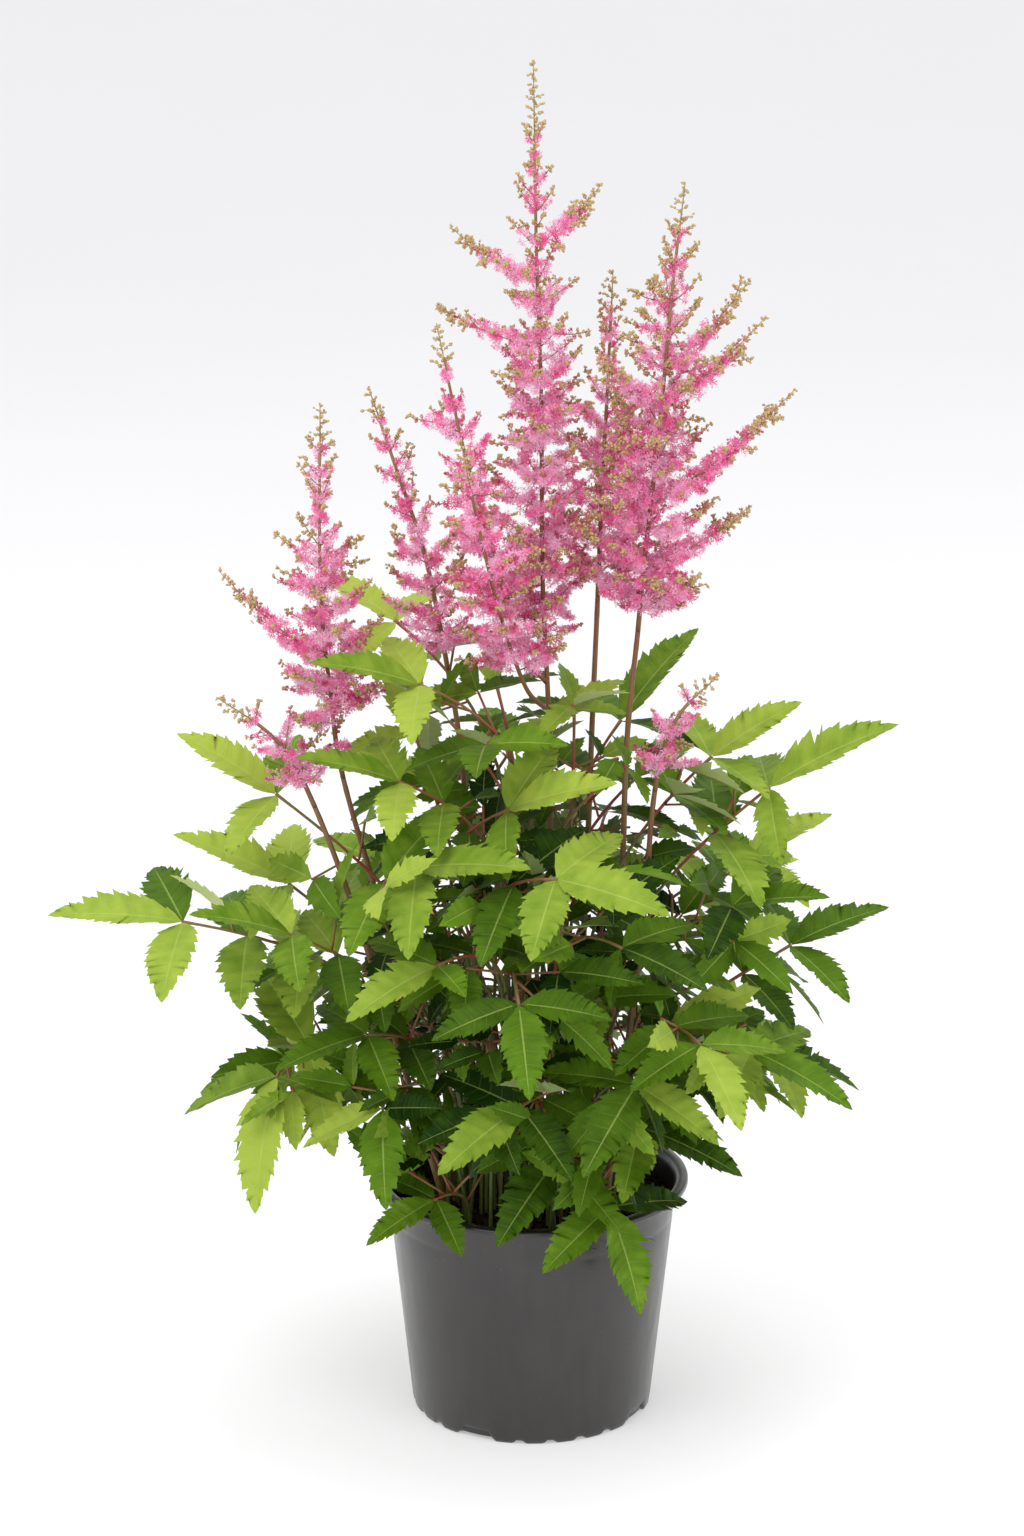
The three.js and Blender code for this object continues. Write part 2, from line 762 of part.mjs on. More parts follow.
// Grows a branch or a raceme from an open face of a stem, and says whether it did.
function growSide(growth, room, root, along, organ, owner, draw) {
  const origin = growth.centre(root);
  if (organ.branch) {
    const curve = branchCurve(origin, organ.branch);
    growRachis(growth, room, root, curve, 0, organsByNode(organ.branch), owner, draw);
    return true;
  }
  const placed = placedRaceme(room, origin, along, owner, organ, draw);
  if (placed) {
    growRaceme(growth, root, placed.path, placed.size);
  }
  return placed !== null;
}

// Sets a flower stem in the soil. Its racemes are grown later, when every stem has its room.
function placePlume(room, plume, index) {
  const owner = `panicle_${plume.name}`;
  const [foot, ...rest] = plume.stem.map(vector);
  foot.setZ(SOIL.top - SOIL.holeDepth);
  const collar = foot.clone().setZ(SOIL.top + SOIL.collar);
  const curve = smoothCurve([collar, ...rest]);
  const joint = plume.joint / (plume.stem.length - 1);
  takeAxisRoom(room, curve, organsByNode(plume), owner);
  for (const branch of plume.branches) {
    const root = curve.getPoint(shareAtHeight(curve, branch.height));
    takeAxisRoom(room, branchCurve(root, branch), organsByNode(branch), owner);
  }
  room.feet.push(foot);
  return { plume, curve, joint, owner, foot, draw: seededDraws(SEEDS.plume + SEEDS.plumeStep * index) };
}

function stalkGeometry({ curve, joint, foot }) {
  const [collar, ...rest] = stationsOn(curve, 0, joint, STEM.steps);
  const stations = [{ at: foot, along: UP }, { at: collar.at, along: UP }, ...rest];
  return stemGeometry(stations, (share) => between(STEM.stalkRadius, STEM.rachisRadius, share), SIDE);
}

function panicleGeometry(room, { plume, curve, joint, owner, draw }) {
  const growth = new Growth();
  const { at, along } = stationAt(curve, joint);
  at.addScaledVector(along, GAP);
  const start = growth.ring(corners(at, along, squareTo(SIDE, along), square(STEM.rachisRadius)));
  growth.startCap(start);
  growRachis(growth, room, start, curve, joint, organsByNode(plume), owner, draw);
  return growth.geometry();
}

// ---------------------------------------------------------------- leaves

// A leaflet's own axes: along it, across it to its left, and out of its upper face.
function bladeFrame(base, along, facing, length) {
  const normal = squareTo(facing, along);
  return { base, along, normal, across: normal.clone().cross(along), length };
}

// A point of the folded, drooping blade, from its share of the length and of the half width.
function bladePoint({ base, along, across, normal, length }, share, out, droop) {
  const half = BLADE.halfWidth * length;
  return base.clone()
    .addScaledVector(along, share * length)
    .addScaledVector(across, out * half)
    .addScaledVector(normal, BLADE.fold * Math.abs(out) * half - droop * length * share ** 2);
}

const bladeOutline = (share) => Math.min(share / BLADE.widestAt, 1, (1 - share) / BLADE.taperOver);

function bladeRoom({ frame, droop }) {
  const rows = Math.ceil(frame.length / ROOM.leafSpacing);
  const points = [];
  for (let row = 1; row <= rows; row += 1) {
    const share = row / rows;
    const half = bladeOutline(share);
    const columns = Math.ceil((half * BLADE.halfWidth * frame.length) / ROOM.leafSpacing);
    for (let column = -columns; column <= columns; column += 1) {
      const out = columns === 0 ? 0 : (half * column) / columns;
      const kin = share < ROOM.leafRoot ? 0 : ROOM.leafKin;
      points.push({ at: bladePoint(frame, share, out, droop), reach: ROOM.leafReach, kin });
    }
  }
  return points;
}

// Grows a blade from an open ring, as a thin lens: both faces meet along the toothed edge and
// share its corners, so they split alike.
function growBlade(growth, root, { frame, droop }) {
  const leftUp = frame.across.clone().add(frame.normal);
  const [leftTop, rightTop, rightLow, leftLow] = growth.startingAt(root, leftUp);
  const left = BLADE.teeth.map(([share, out]) => bladePoint(frame, share, out, droop));
  const right = BLADE.teeth.map(([share, out]) => bladePoint(frame, share, -out, droop)).reverse();
  const edge = growth.ring([...left, bladePoint(frame, 1, 0, droop), ...right]);
  const ridge = bladePoint(frame, BLADE.ridgeAlong, 0, droop);
  const top = growth.point(ridge.clone().addScaledVector(frame.normal, BLADE.ridge));
  const low = growth.point(ridge.clone().addScaledVector(frame.normal, -BLADE.ridge));
  const upper = [leftTop, ...edge, rightTop];
  const lower = [leftLow, ...edge, rightLow];
  for (let index = 0; index < upper.length; index += 1) {
    const next = (index + 1) % upper.length;
    growth.triangles.push([top, upper[next], upper[index]], [low, lower[index], lower[next]]);
  }
  growth.triangles.push([leftTop, edge[0], leftLow], [rightTop, rightLow, edge.at(-1)]);
}

// A petiole's curve: straight up from the collar, then over into the direction of its end leaflet.
function petioleCurve(foot, hub, end) {
  const collar = foot.clone().setZ(SOIL.top + SOIL.collar);
  const span = collar.distanceTo(hub);
  return new THREE.CubicBezierCurve3(
    collar,
    collar.clone().addScaledVector(UP, PETIOLE.rise * span),
    hub.clone().addScaledVector(end, -PETIOLE.lead * span),
    hub,
  );
}

function petioleFoot(hub, attempt, draw) {
  const azimuth = THREE.MathUtils.radToDeg(Math.atan2(hub.y, hub.x));
  const wanted = CLUMP.outer - CLUMP.radiusPerHeight * (hub.z - CLUMP.fromHeight);
  const radius = THREE.MathUtils.clamp(wanted, CLUMP.inner, CLUMP.outer);
  const swing = CLUMP.swing + attempt * TRY.footSwing;
  const spread = Math.min(TRY.footSpread, attempt);
  const place = polar(radius + draw(-spread, spread / 3), azimuth + draw(-swing, swing), 0);
  return place.setZ(SOIL.top - SOIL.holeDepth);
}

// Finds a leaf's petiole a way up between the others, swaying the whole leaf a little if need be.
function placePetiole(room, leaf) {
  const { owner, draw } = leaf;
  for (let attempt = 0; attempt < TRY.petioleTries; attempt += 1) {
    const sway = attempt * TRY.petioleSway;
    const shift = new THREE.Vector3(draw(-sway, sway), draw(-sway, sway), draw(-sway, sway));
    const hub = leaf.hub.clone().add(shift);
    const reach = leaf.tip.clone().sub(leaf.hub);
    const foot = petioleFoot(hub, attempt, draw);
    const curve = petioleCurve(foot, hub, reach.clone().normalize());
    const points = stemRoom(stationsOn(curve, 0, 1, PETIOLE.roomSteps));
    if (room.isFree(points, owner) && room.footIsFree(foot)) {
      room.add(points, owner);
      room.feet.push(foot);
      const placed = { ...leaf, size: reach.length(), foot, curve };
      const nodes = leafNodes(placed);
      return { ...placed, nodes, stations: petioleStations(placed, nodes) };
    }
  }
  throw new Error(`no way up for ${owner}`);
}

// Bends a leaflet clear of what is there by small seeded turns, or gives nothing.
function placedBlade(room, leaf, base, direction, length) {
  const normal = squareTo(leaf.facing, direction);
  const across = normal.clone().cross(direction);
  for (let attempt = 0; attempt < ROOM.tries; attempt += 1) {
    const swing = TRY.bladeFirstSwing + attempt * TRY.bladeSwing;
    const yaw = leaf.draw(-TRY.bladeYaw, TRY.bladeYaw);
    const pitch = leaf.draw(-swing / 2, swing);
    const roll = leaf.draw(-swing, swing);
    const along = turned(turned(direction, normal, yaw), across, pitch);
    const size = length * (1 - TRY.bladeShrink * attempt);
    const blade = { frame: bladeFrame(base, along, turned(normal, along, roll), size), droop: BLADE.droop };
    const points = bladeRoom(blade);
    if (room.isFree(points, leaf.owner)) {
      room.add(points, leaf.owner);
      return blade;
    }
  }
  return null;
}

// Grows a leaflet from an open ring, and says whether it had room to.
function growLeaflet(growth, room, leaf, root, direction, length) {
  const blade = placedBlade(room, leaf, growth.centre(root), direction, length);
  if (blade) {
    growBlade(growth, root, blade);
  }
  return blade !== null;
}

const [RIGHT_FACE, LEFT_FACE] = [1, 3];
const SIDES = [[LEFT_FACE, 1], [RIGHT_FACE, -1]];

// A pair of side leaflets between two rings, or of twigs: grow(root, direction) says if it grew one.
function growPair(growth, [from, to], { along, normal }, angle, grow) {
  const grown = SIDES.filter(([face, side]) => (
    grow(growth.faceRing(from, to, face), turned(along, normal, side * angle))));
  growth.skin(from, to, (face) => grown.some(([open]) => open === face));
}

// The corners of a leaf's stem, with its faces up, right, down and left.
function leafRing(growth, { at, along, normal }, radius) {
  return growth.ring(corners(at, along, turned(normal, along, -45), square(radius)));
}

// Grows a side twig with three leaflets at its end, and says whether it had room to.
function growTwig(growth, room, leaf, root, direction) {
  const start = growth.centre(root);
  const normal = squareTo(leaf.facing, direction);
  const reach = TWIG.length * leaf.size;
  const [inner, outer] = [reach - PETIOLE.nodeLength, reach].map((distance) => (
    { at: start.clone().addScaledVector(direction, distance), along: direction, normal }));
  const points = stemRoom([{ at: start }, outer]);
  if (!room.isFree(points.slice(2), leaf.owner)) {
    return false;
  }
  room.add(points, leaf.owner);
  const rings = [inner, outer].map((station) => leafRing(growth, station, PETIOLE.hubRadius));
  growth.skin(growth.startingAt(root, turned(normal, direction, -45)), rings[0]);
  growPair(growth, rings, outer, PAIR.angle, (from, towards) => (
    growLeaflet(growth, room, leaf, from, towards, TWIG.sideLeaflet * leaf.size)));
  if (!growLeaflet(growth, room, leaf, rings[1], direction, TWIG.leaflet * leaf.size)) {
    growth.endCap(rings[1]);
  }
  return true;
}

// The stretches of a petiole that pairs and twigs grow from, from the lowest up. Those that would
// start in its lower third are left out.
function leafNodes({ curve, size, kind }) {
  const { pairs, twigs } = LEAF_KINDS[kind];
  const shareOf = (distance) => 1 - distance / curve.getLength();
  const nodeAt = (behind, hasTwigs) => ({
    from: shareOf(behind * size + PETIOLE.nodeLength), to: shareOf(behind * size), hasTwigs,
  });
  return [...twigs.map((behind) => nodeAt(behind, true)), ...pairs.map((behind) => nodeAt(behind, false))]
    .filter(({ from }) => from > PETIOLE.bareShare)
    .sort((a, b) => a.from - b.from);
}

// A petiole's stations from its foot: the collar, a few on the bare stretch, and two at each node.
// The normal is carried down from the leaf, so that the stem doesn't twist.
function petioleStations({ curve, foot, facing }, nodes) {
  const bare = stationsOn(curve, 0, nodes[0].from - PETIOLE.bareStep, PETIOLE.steps);
  bare[0].along = UP;
  const jointed = nodes.flatMap(({ from, to }) => [stationAt(curve, from), stationAt(curve, to)]);
  const stations = [{ at: foot, along: UP }, ...bare, ...jointed];
  let normal = facing;
  for (const station of [...stations].reverse()) {
    normal = squareTo(normal, station.along);
    station.normal = normal;
  }
  return stations;
}

// One leaf: its petiole from the foot up, its twigs and pairs of leaflets, and the end leaflet.
function leafGeometry(room, leaf) {
  const growth = new Growth();
  const { stations, nodes } = leaf;
  const firstNode = stations.length - 2 * nodes.length;
  const rings = stations.map((station, index) => {
    const share = Math.min(1, index / firstNode);
    return leafRing(growth, station, between(PETIOLE.footRadius, PETIOLE.hubRadius, share));
  });
  growth.startCap(rings[0]);
  for (let index = 0; index + 1 < rings.length; index += 1) {
    const pair = [rings[index], rings[index + 1]];
    const node = nodes[(index - firstNode) / 2];
    if (!node) {
      growth.skin(...pair);
    } else if (node.hasTwigs) {
      growPair(growth, pair, stations[index + 1], TWIG.angle, (root, towards) => (
        growTwig(growth, room, leaf, root, towards)));
    } else {
      growPair(growth, pair, stations[index + 1], PAIR.angle, (root, towards) => (
        growLeaflet(growth, room, leaf, root, towards, PAIR.length * leaf.size)));
    }
  }
  const { along } = stations.at(-1);
  if (!growLeaflet(growth, room, leaf, rings.at(-1), along, leaf.size)) {
    growth.endCap(rings.at(-1));
  }
  return growth.geometry();
}

function farLeaf(index) {
  const { count, from, to, tiers } = FAR_LEAVES;
  const tier = tiers[index % tiers.length];
  const azimuth = between(from, to, index / (count - 1));
  const hub = polar(tier.radius, azimuth, tier.height);
  const dip = radians(tier.dip);
  const tip = hub.clone().add(polar(tier.reach * Math.cos(dip), azimuth, tier.reach * Math.sin(dip)));
  return [`far_${index + 1}`, tier.kind, hub.toArray(), tip.toArray()];
}

function allLeaves() {
  const far = Array.from({ length: FAR_LEAVES.count }, (_, index) => farLeaf(index));
  return [...LEAVES, ...far].map(([name, kind, hub, tip], index) => {
    const outward = new THREE.Vector3(hub[0], hub[1], 0).normalize();
    const light = new THREE.Vector3(0, -FACING.front, 1);
    const facing = outward.multiplyScalar(FACING.outward).add(light).normalize();
    const draw = seededDraws(SEEDS.leaf + SEEDS.leafStep * index);
    return { kind, hub: vector(hub), tip: vector(tip), owner: `frond_${name}`, facing, draw };
  });
}

// ---------------------------------------------------------------- the plant

function material(name) {
  return new THREE.MeshStandardMaterial({ ...COLOURS[name], metalness: 0 });
}

function namedMesh(name, geometry, finish) {
  const mesh = new THREE.Mesh(geometry, material(finish));
  mesh.name = name;
  return mesh;
}

function buildAstilbe() {
  const room = new Room();
  const plumes = PLUMES.map((plume, index) => placePlume(room, plume, index));
  const leaves = allLeaves().map((leaf) => placePetiole(room, leaf));
  const feet = [
    ...plumes.map(({ foot }) => ({ foot, radius: STEM.stalkRadius, side: SIDE })),
    ...leaves.map(({ foot, stations: [{ normal }] }) => (
      { foot, radius: PETIOLE.footRadius, side: turned(normal, UP, -45) })),
  ];
  const plant = new THREE.Group();
  plant.add(namedMesh('pot', potGeometry(), 'pot'));
  plant.add(namedMesh('soil', soilGeometry(feet), 'soil'));
  for (const placed of plumes) {
    plant.add(namedMesh(`stalk_${placed.plume.name}`, stalkGeometry(placed), 'stalk'));
    plant.add(namedMesh(placed.owner, panicleGeometry(room, placed), 'panicle'));
  }
  for (const leaf of leaves) {
    plant.add(namedMesh(leaf.owner, leafGeometry(room, leaf), 'leaf'));
  }
  return plant;
}

export default buildAstilbe();
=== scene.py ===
"""Looks of a flowering astilbe in its nursery pot.

The plant is laid out by the same seeded rules as its solids, in millimetres, and each solid is
then replaced by a finer piece in metres: toothed and veined leaflets, feathery florets and beads
of buds on their stems, a moulded pot and crumbly peat. Short racemes, small twigs and small leaves
that no solid has fill the gaps between them.
"""

from __future__ import annotations

import logging
import math
from abc import ABC, abstractmethod
from collections.abc import Callable
from dataclasses import dataclass, field
from enum import Enum

import bpy
import numpy as np
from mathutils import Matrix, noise


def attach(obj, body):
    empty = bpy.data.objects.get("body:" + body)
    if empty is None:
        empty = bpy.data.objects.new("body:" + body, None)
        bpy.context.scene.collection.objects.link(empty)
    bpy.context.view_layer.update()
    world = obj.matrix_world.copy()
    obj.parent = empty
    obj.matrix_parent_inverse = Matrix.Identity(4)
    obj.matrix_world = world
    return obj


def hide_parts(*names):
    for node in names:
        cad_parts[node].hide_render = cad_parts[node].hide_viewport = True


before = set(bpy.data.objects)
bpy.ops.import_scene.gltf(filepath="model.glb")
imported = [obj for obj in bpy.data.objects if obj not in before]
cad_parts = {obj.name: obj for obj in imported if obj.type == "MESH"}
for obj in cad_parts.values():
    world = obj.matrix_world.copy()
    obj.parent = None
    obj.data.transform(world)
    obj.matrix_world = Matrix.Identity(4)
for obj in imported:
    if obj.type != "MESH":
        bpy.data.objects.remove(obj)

log = logging.getLogger("astilbe")

Vec = np.ndarray
Chance = np.random.Generator
Material = bpy.types.Material
Socket = bpy.types.NodeSocket

MM = 0.001  # in metres
GAP = 0.3  # between neighbouring pieces, in millimetres
UP = np.array([0.0, 0.0, 1.0])
SIDE = np.array([1.0, 0.0, 0.0])
GOLDEN_TURN = 137.5  # from one organ to the next round a stem, in degrees
SPIN = 6.28  # about a full turn, in radians
PLUME_SEED, PLUME_SEED_STEP = 4001, 97
LEAF_SEED, LEAF_SEED_STEP = 7001, 131


# Sizes shared with the solids


@dataclass(frozen=True)
class PotSizes:
    """Sizes of the pot, in millimetres."""

    height: float = 147
    rim_radius: float = 95
    lip_height: float = 4
    top_radius: float = 88
    base_radius: float = 72.6
    wall: float = 1.6
    floor: float = 2.5
    step_drop: float = 23
    step: float = 0.5

    def wall_radius(self, z: float) -> float:
        """The outer radius of the tapered wall at a height."""
        return between(self.base_radius, self.top_radius, z / (self.height - self.lip_height))


@dataclass(frozen=True)
class SoilSizes:
    """Sizes of the soil, in millimetres."""

    top: float = 130
    bump: float = 1.6
    bump_lengths: tuple[float, float] = (9, 11)
    hole_depth: float = 8
    collar: float = 4


@dataclass(frozen=True)
class StemSizes:
    """Sizes of the flower stems and of their racemes, in millimetres and shares."""

    stalk_radius: float = 2.1
    rachis_radius: float = 1.6
    tip_radius: float = 0.8
    steps: int = 6
    node_length: float = 2.4
    pitch: float = 6.4
    thickest: float = 9
    base_thickness: float = 2.8
    thickness_per_length: float = 0.13
    lift: float = 0.22
    spike_length: float = 30
    open_at: float = 0.3
    shutting: float = 0.78
    low_rise: float = 24
    high_rise: float = 46

    def reach(self, length: float, share: float) -> float:
        """How far the florets of a raceme reach from its middle line.

        Args:
            length: Length of the raceme.
            share: Share of its length.

        Returns:
            The reach, in millimetres.
        """
        full = min(self.thickest, self.base_thickness + self.thickness_per_length * length)
        opened = min(1, share / self.open_at)
        shut = 1 - self.shutting * max(0, (share - self.open_at) / (1 - self.open_at))
        return max(1, full * opened * shut)


@dataclass(frozen=True)
class LeafSizes:
    """Sizes of the leaves, in millimetres, degrees and shares."""

    foot_radius: float = 1.5
    hub_radius: float = 1.1
    steps: int = 3
    room_steps: int = 9
    node_length: float = 1.6
    bare_share: float = 0.33
    bare_step: float = 0.06
    rise: float = 0.5
    lead: float = 0.38
    half_width: float = 0.24
    fold: float = 0.3
    droop: float = 0.16
    widest_at: float = 0.38
    taper_over: float = 0.56
    pair_angle: float = 76
    pair_length: float = 0.88
    twig_angle: float = 64
    twig_length: float = 0.48
    twig_leaflet: float = 0.86
    twig_side_leaflet: float = 0.74
    facing_outward: float = 0.28
    facing_front: float = 0.22


@dataclass(frozen=True)
class RoomSizes:
    """Reaches and spacings of the points that stand for what is placed, and how tries widen."""

    margin: float = 24
    leaf_spacing: float = 4.2
    leaf_reach: float = 3.5
    leaf_kin: float = 2.2
    leaf_root: float = 0.3
    stem_spacing: float = 4
    stem_reach: float = 3.4
    stem_kin: float = 1.9
    raceme_root: float = 7
    foot_spacing: float = 7
    tries: int = 60
    raceme_swing: float = 0.7
    raceme_shrink: float = 0.008
    petiole_tries: int = 240
    petiole_sway: float = 0.25
    foot_swing: float = 1.5
    foot_spread: float = 30
    blade_swing: float = 0.9
    blade_first_swing: float = 6
    blade_yaw: float = 5
    blade_shrink: float = 0.006


@dataclass(frozen=True)
class ClumpSizes:
    """Where the feet of the leaves stand."""

    outer: float = 62
    inner: float = 20
    from_height: float = 177
    radius_per_height: float = 0.15
    swing: float = 3


POT = PotSizes()
SOIL = SoilSizes()
STEM = StemSizes()
LEAF = LeafSizes()
ROOM = RoomSizes()
CLUMP = ClumpSizes()


class LeafKind(Enum):
    """How many leaflets a leaf has: its pairs, then its twigs, in lengths behind the end one."""

    THREE = ((0,), ())
    FIVE = ((0, 0.5), ())
    SEVEN = ((0, 0.5, 1), ())
    NINE = ((0,), (1,))


# Sizes that no solid shares


@dataclass(frozen=True)
class FillSizes:
    """How short racemes fill a plume and small twigs a leaf, in millimetres, degrees and shares."""

    below: float = 26
    above_joint: float = 14
    step: float = 8
    branch_step: float = 14
    longest: float = 0.85
    low_rise: float = 12
    tries: int = 16
    bearing: float = 22  # shortest raceme that bears others
    two_sided: float = 44  # longest that bears them on one side at a time
    bare_end: float = 0.82
    side_lengths: tuple[float, float] = (16, 34)
    side_angles: tuple[float, float] = (40, 100)
    side_rises: tuple[float, float] = (-5, 40)
    side_tries: int = 5
    swing: float = 4.0
    rise_swing: float = 8
    shrink: float = 0.04
    shortest: float = 8
    root_share: float = 0.55
    slack: float = 0.6
    twig_tries: int = 15
    twig_slack: float = 0.42
    twig_leans: tuple[float, float] = (0.2, 1.2)
    twig_facing_swing: float = 55
    twig_shares: tuple[float, float] = (0.16, 0.92)
    twig_angles: tuple[float, float] = (40, 85)
    twig_roll: float = 50
    twig_sizes: tuple[float, float] = (38, 60)
    turned_over: tuple[int, int] = (8, 5)  # one twig in how many, and which
    twig_above: float = 10
    small_above: float = 22  # lowest point of a small leaflet above the rim
    small_tries: int = 7


@dataclass(frozen=True)
class MeshSteps:
    """How finely stems are cut along their length and round it."""

    stalk: int = 40
    stalk_sides: int = 12
    axis: int = 36
    axis_sides: int = 8
    petiole: int = 24
    petiole_sides: int = 6
    twig: int = 5


FILL = FillSizes()
STEPS = MeshSteps()


# Vectors and curves


def between(low: float, high: float, share: float) -> float:
    """The value a share of the way from low to high."""
    return low + (high - low) * share


def unit(vector: Vec) -> Vec:
    """The vector at length one."""
    return vector / math.sqrt(vector @ vector)


def units(rows: Vec) -> Vec:
    """Each row at length one."""
    return rows / np.linalg.norm(rows, axis=1, keepdims=True)


def polar(radius: float, degrees: float, height: float) -> Vec:
    """A point from its radius, azimuth and height."""
    angle = math.radians(degrees)
    return np.array([radius * math.cos(angle), radius * math.sin(angle), height])


def square_to(direction: Vec, axis: Vec) -> Vec:
    """The part of a direction that is square to an axis, as a unit vector."""
    return unit(direction - axis * (direction @ axis))


def turned(direction: Vec, axis: Vec, degrees: float) -> Vec:
    """A direction turned about a unit axis.

    Args:
        direction: The direction.
        axis: The unit axis.
        degrees: How far it turns.

    Returns:
        The new direction.
    """
    angle = math.radians(degrees)
    across = np.cross(axis, direction)
    along = axis * (axis @ direction)
    return along + (direction - along) * math.cos(angle) + across * math.sin(angle)


def corners(centre: Vec, along: Vec, side: Vec, radius: float) -> Vec:
    """The four corners of a stem's section, in order about its axis from a side direction."""
    return np.array([centre + turned(side, along, 90 * index) * radius for index in range(4)])


def face_ring(start: Vec, end: Vec, face: int) -> Vec:
    """The corners of one face between two sections, in the order that an organ grows from."""
    after = (face + 1) % 4
    return np.array([start[after], end[after], end[face], start[face]])


class Draws:
    """Repeatable draws from a seed."""

    MULTIPLIER = 16807
    MODULUS = 2147483647

    def __init__(self, seed: int) -> None:
        """Starts the row of draws.

        Args:
            seed: Any whole number above nothing.
        """
        self.state = seed

    def __call__(self, low: float, high: float) -> float:
        """The next number between low and high."""
        self.state = (self.state * self.MULTIPLIER) % self.MODULUS
        return between(low, high, self.state / self.MODULUS)


class Curve(ABC):
    """A curve through space, read by its share from 0 to 1."""

    CHORDS = 200
    LOOKS = 400

    @abstractmethod
    def point(self, share: float) -> Vec:
        """The place at a share of the curve."""

    def tangent(self, share: float) -> Vec:
        """The direction of the curve at a share of it."""
        step = 0.0001
        return unit(self.point(min(1, share + step)) - self.point(max(0, share - step)))

    def length(self) -> float:
        """The length of the curve, over its chords."""
        points = np.array([self.point(index / self.CHORDS) for index in range(self.CHORDS + 1)])
        return float(np.linalg.norm(np.diff(points, axis=0), axis=1).sum())

    def share_at_height(self, height: float) -> float:
        """The share at which a rising curve reaches a height."""
        shares = (index / self.LOOKS for index in range(self.LOOKS + 1))
        return next((share for share in shares if self.point(share)[2] >= height), 1)

    def stations(self, start: float, end: float, steps: int) -> list[tuple[Vec, Vec]]:
        """Places and directions at even steps from one share of the curve to another."""
        shares = [between(start, end, index / steps) for index in range(steps + 1)]
        return [(self.point(share), self.tangent(share)) for share in shares]


class Spline(Curve):
    """A smooth curve through points."""

    def __init__(self, points: list[Vec]) -> None:
        """Keeps the points, with one more beyond each end.

        Args:
            points: The points.
        """
        first = points[0] - points[1] + points[0]
        last = points[-1] - points[-2] + points[-1]
        self.points = [first, *points, last]

    def point(self, share: float) -> Vec:
        """The place at a share of the curve.

        Args:
            share: Share of the curve.

        Returns:
            The place.
        """
        spans = len(self.points) - 3
        index = min(int(spans * share), spans - 1)
        weight = spans * share - index
        before, start, end, after = self.points[index : index + 4]
        leave = 0.5 * (end - before)
        arrive = 0.5 * (after - start)
        square = -3 * start + 3 * end - 2 * leave - arrive
        cube = 2 * start - 2 * end + leave + arrive
        return start + leave * weight + square * weight**2 + cube * weight**3


class Bow(Curve):
    """A curve from its two ends and two handles."""

    def __init__(self, start: Vec, leave: Vec, arrive: Vec, end: Vec) -> None:
        """Keeps the four points."""
        self.handles = (start, leave, arrive, end)

    def point(self, share: float) -> Vec:
        """The place at a share of the curve.

        Args:
            share: Share of the curve.

        Returns:
            The place.
        """
        start, leave, arrive, end = self.handles
        rest = 1 - share
        held = 3 * rest * rest * share * leave + 3 * rest * share * share * arrive
        return rest**3 * start + held + share**3 * end


# Taken room


@dataclass
class Spots:
    """Points that stand for a stem or a leaflet, with how far each reaches."""

    at: Vec
    reach: Vec
    kin: Vec

    def since(self, first: int) -> Spots:
        """The points from one of them on."""
        return Spots(self.at[first:], self.reach[first:], self.kin[first:])

    def shrunk(self, slack: float) -> Spots:
        """The same points with shorter reaches."""
        return Spots(self.at, self.reach * slack, self.kin * slack)


def spots_along(path: list[Vec], reaches_at: Callable[[float], tuple[float, float]]) -> Spots:
    """Points along a polyline at even steps, without its foot in the soil.

    Args:
        path: The polyline.
        reaches_at: Gives the reach and the kin reach from the share of the polyline.

    Returns:
        The points.
    """
    rows = []
    for index, (start, end) in enumerate(zip(path, path[1:])):
        span = math.sqrt((end - start) @ (end - start))
        pieces = max(1, math.ceil(span / ROOM.stem_spacing))
        for piece in range(pieces):
            at = start + (end - start) * (piece / pieces)
            if at[2] > SOIL.top + SOIL.collar + ROOM.stem_reach:
                rows.append([*at, *reaches_at((index + piece / pieces) / (len(path) - 1))])
    table = np.array(rows).reshape(-1, 5)
    return Spots(table[:, :3], table[:, 3], table[:, 4])


def stem_spots(path: list[Vec]) -> Spots:
    """Points along a bare stem."""
    return spots_along(path, lambda _: (ROOM.stem_reach, ROOM.stem_kin))


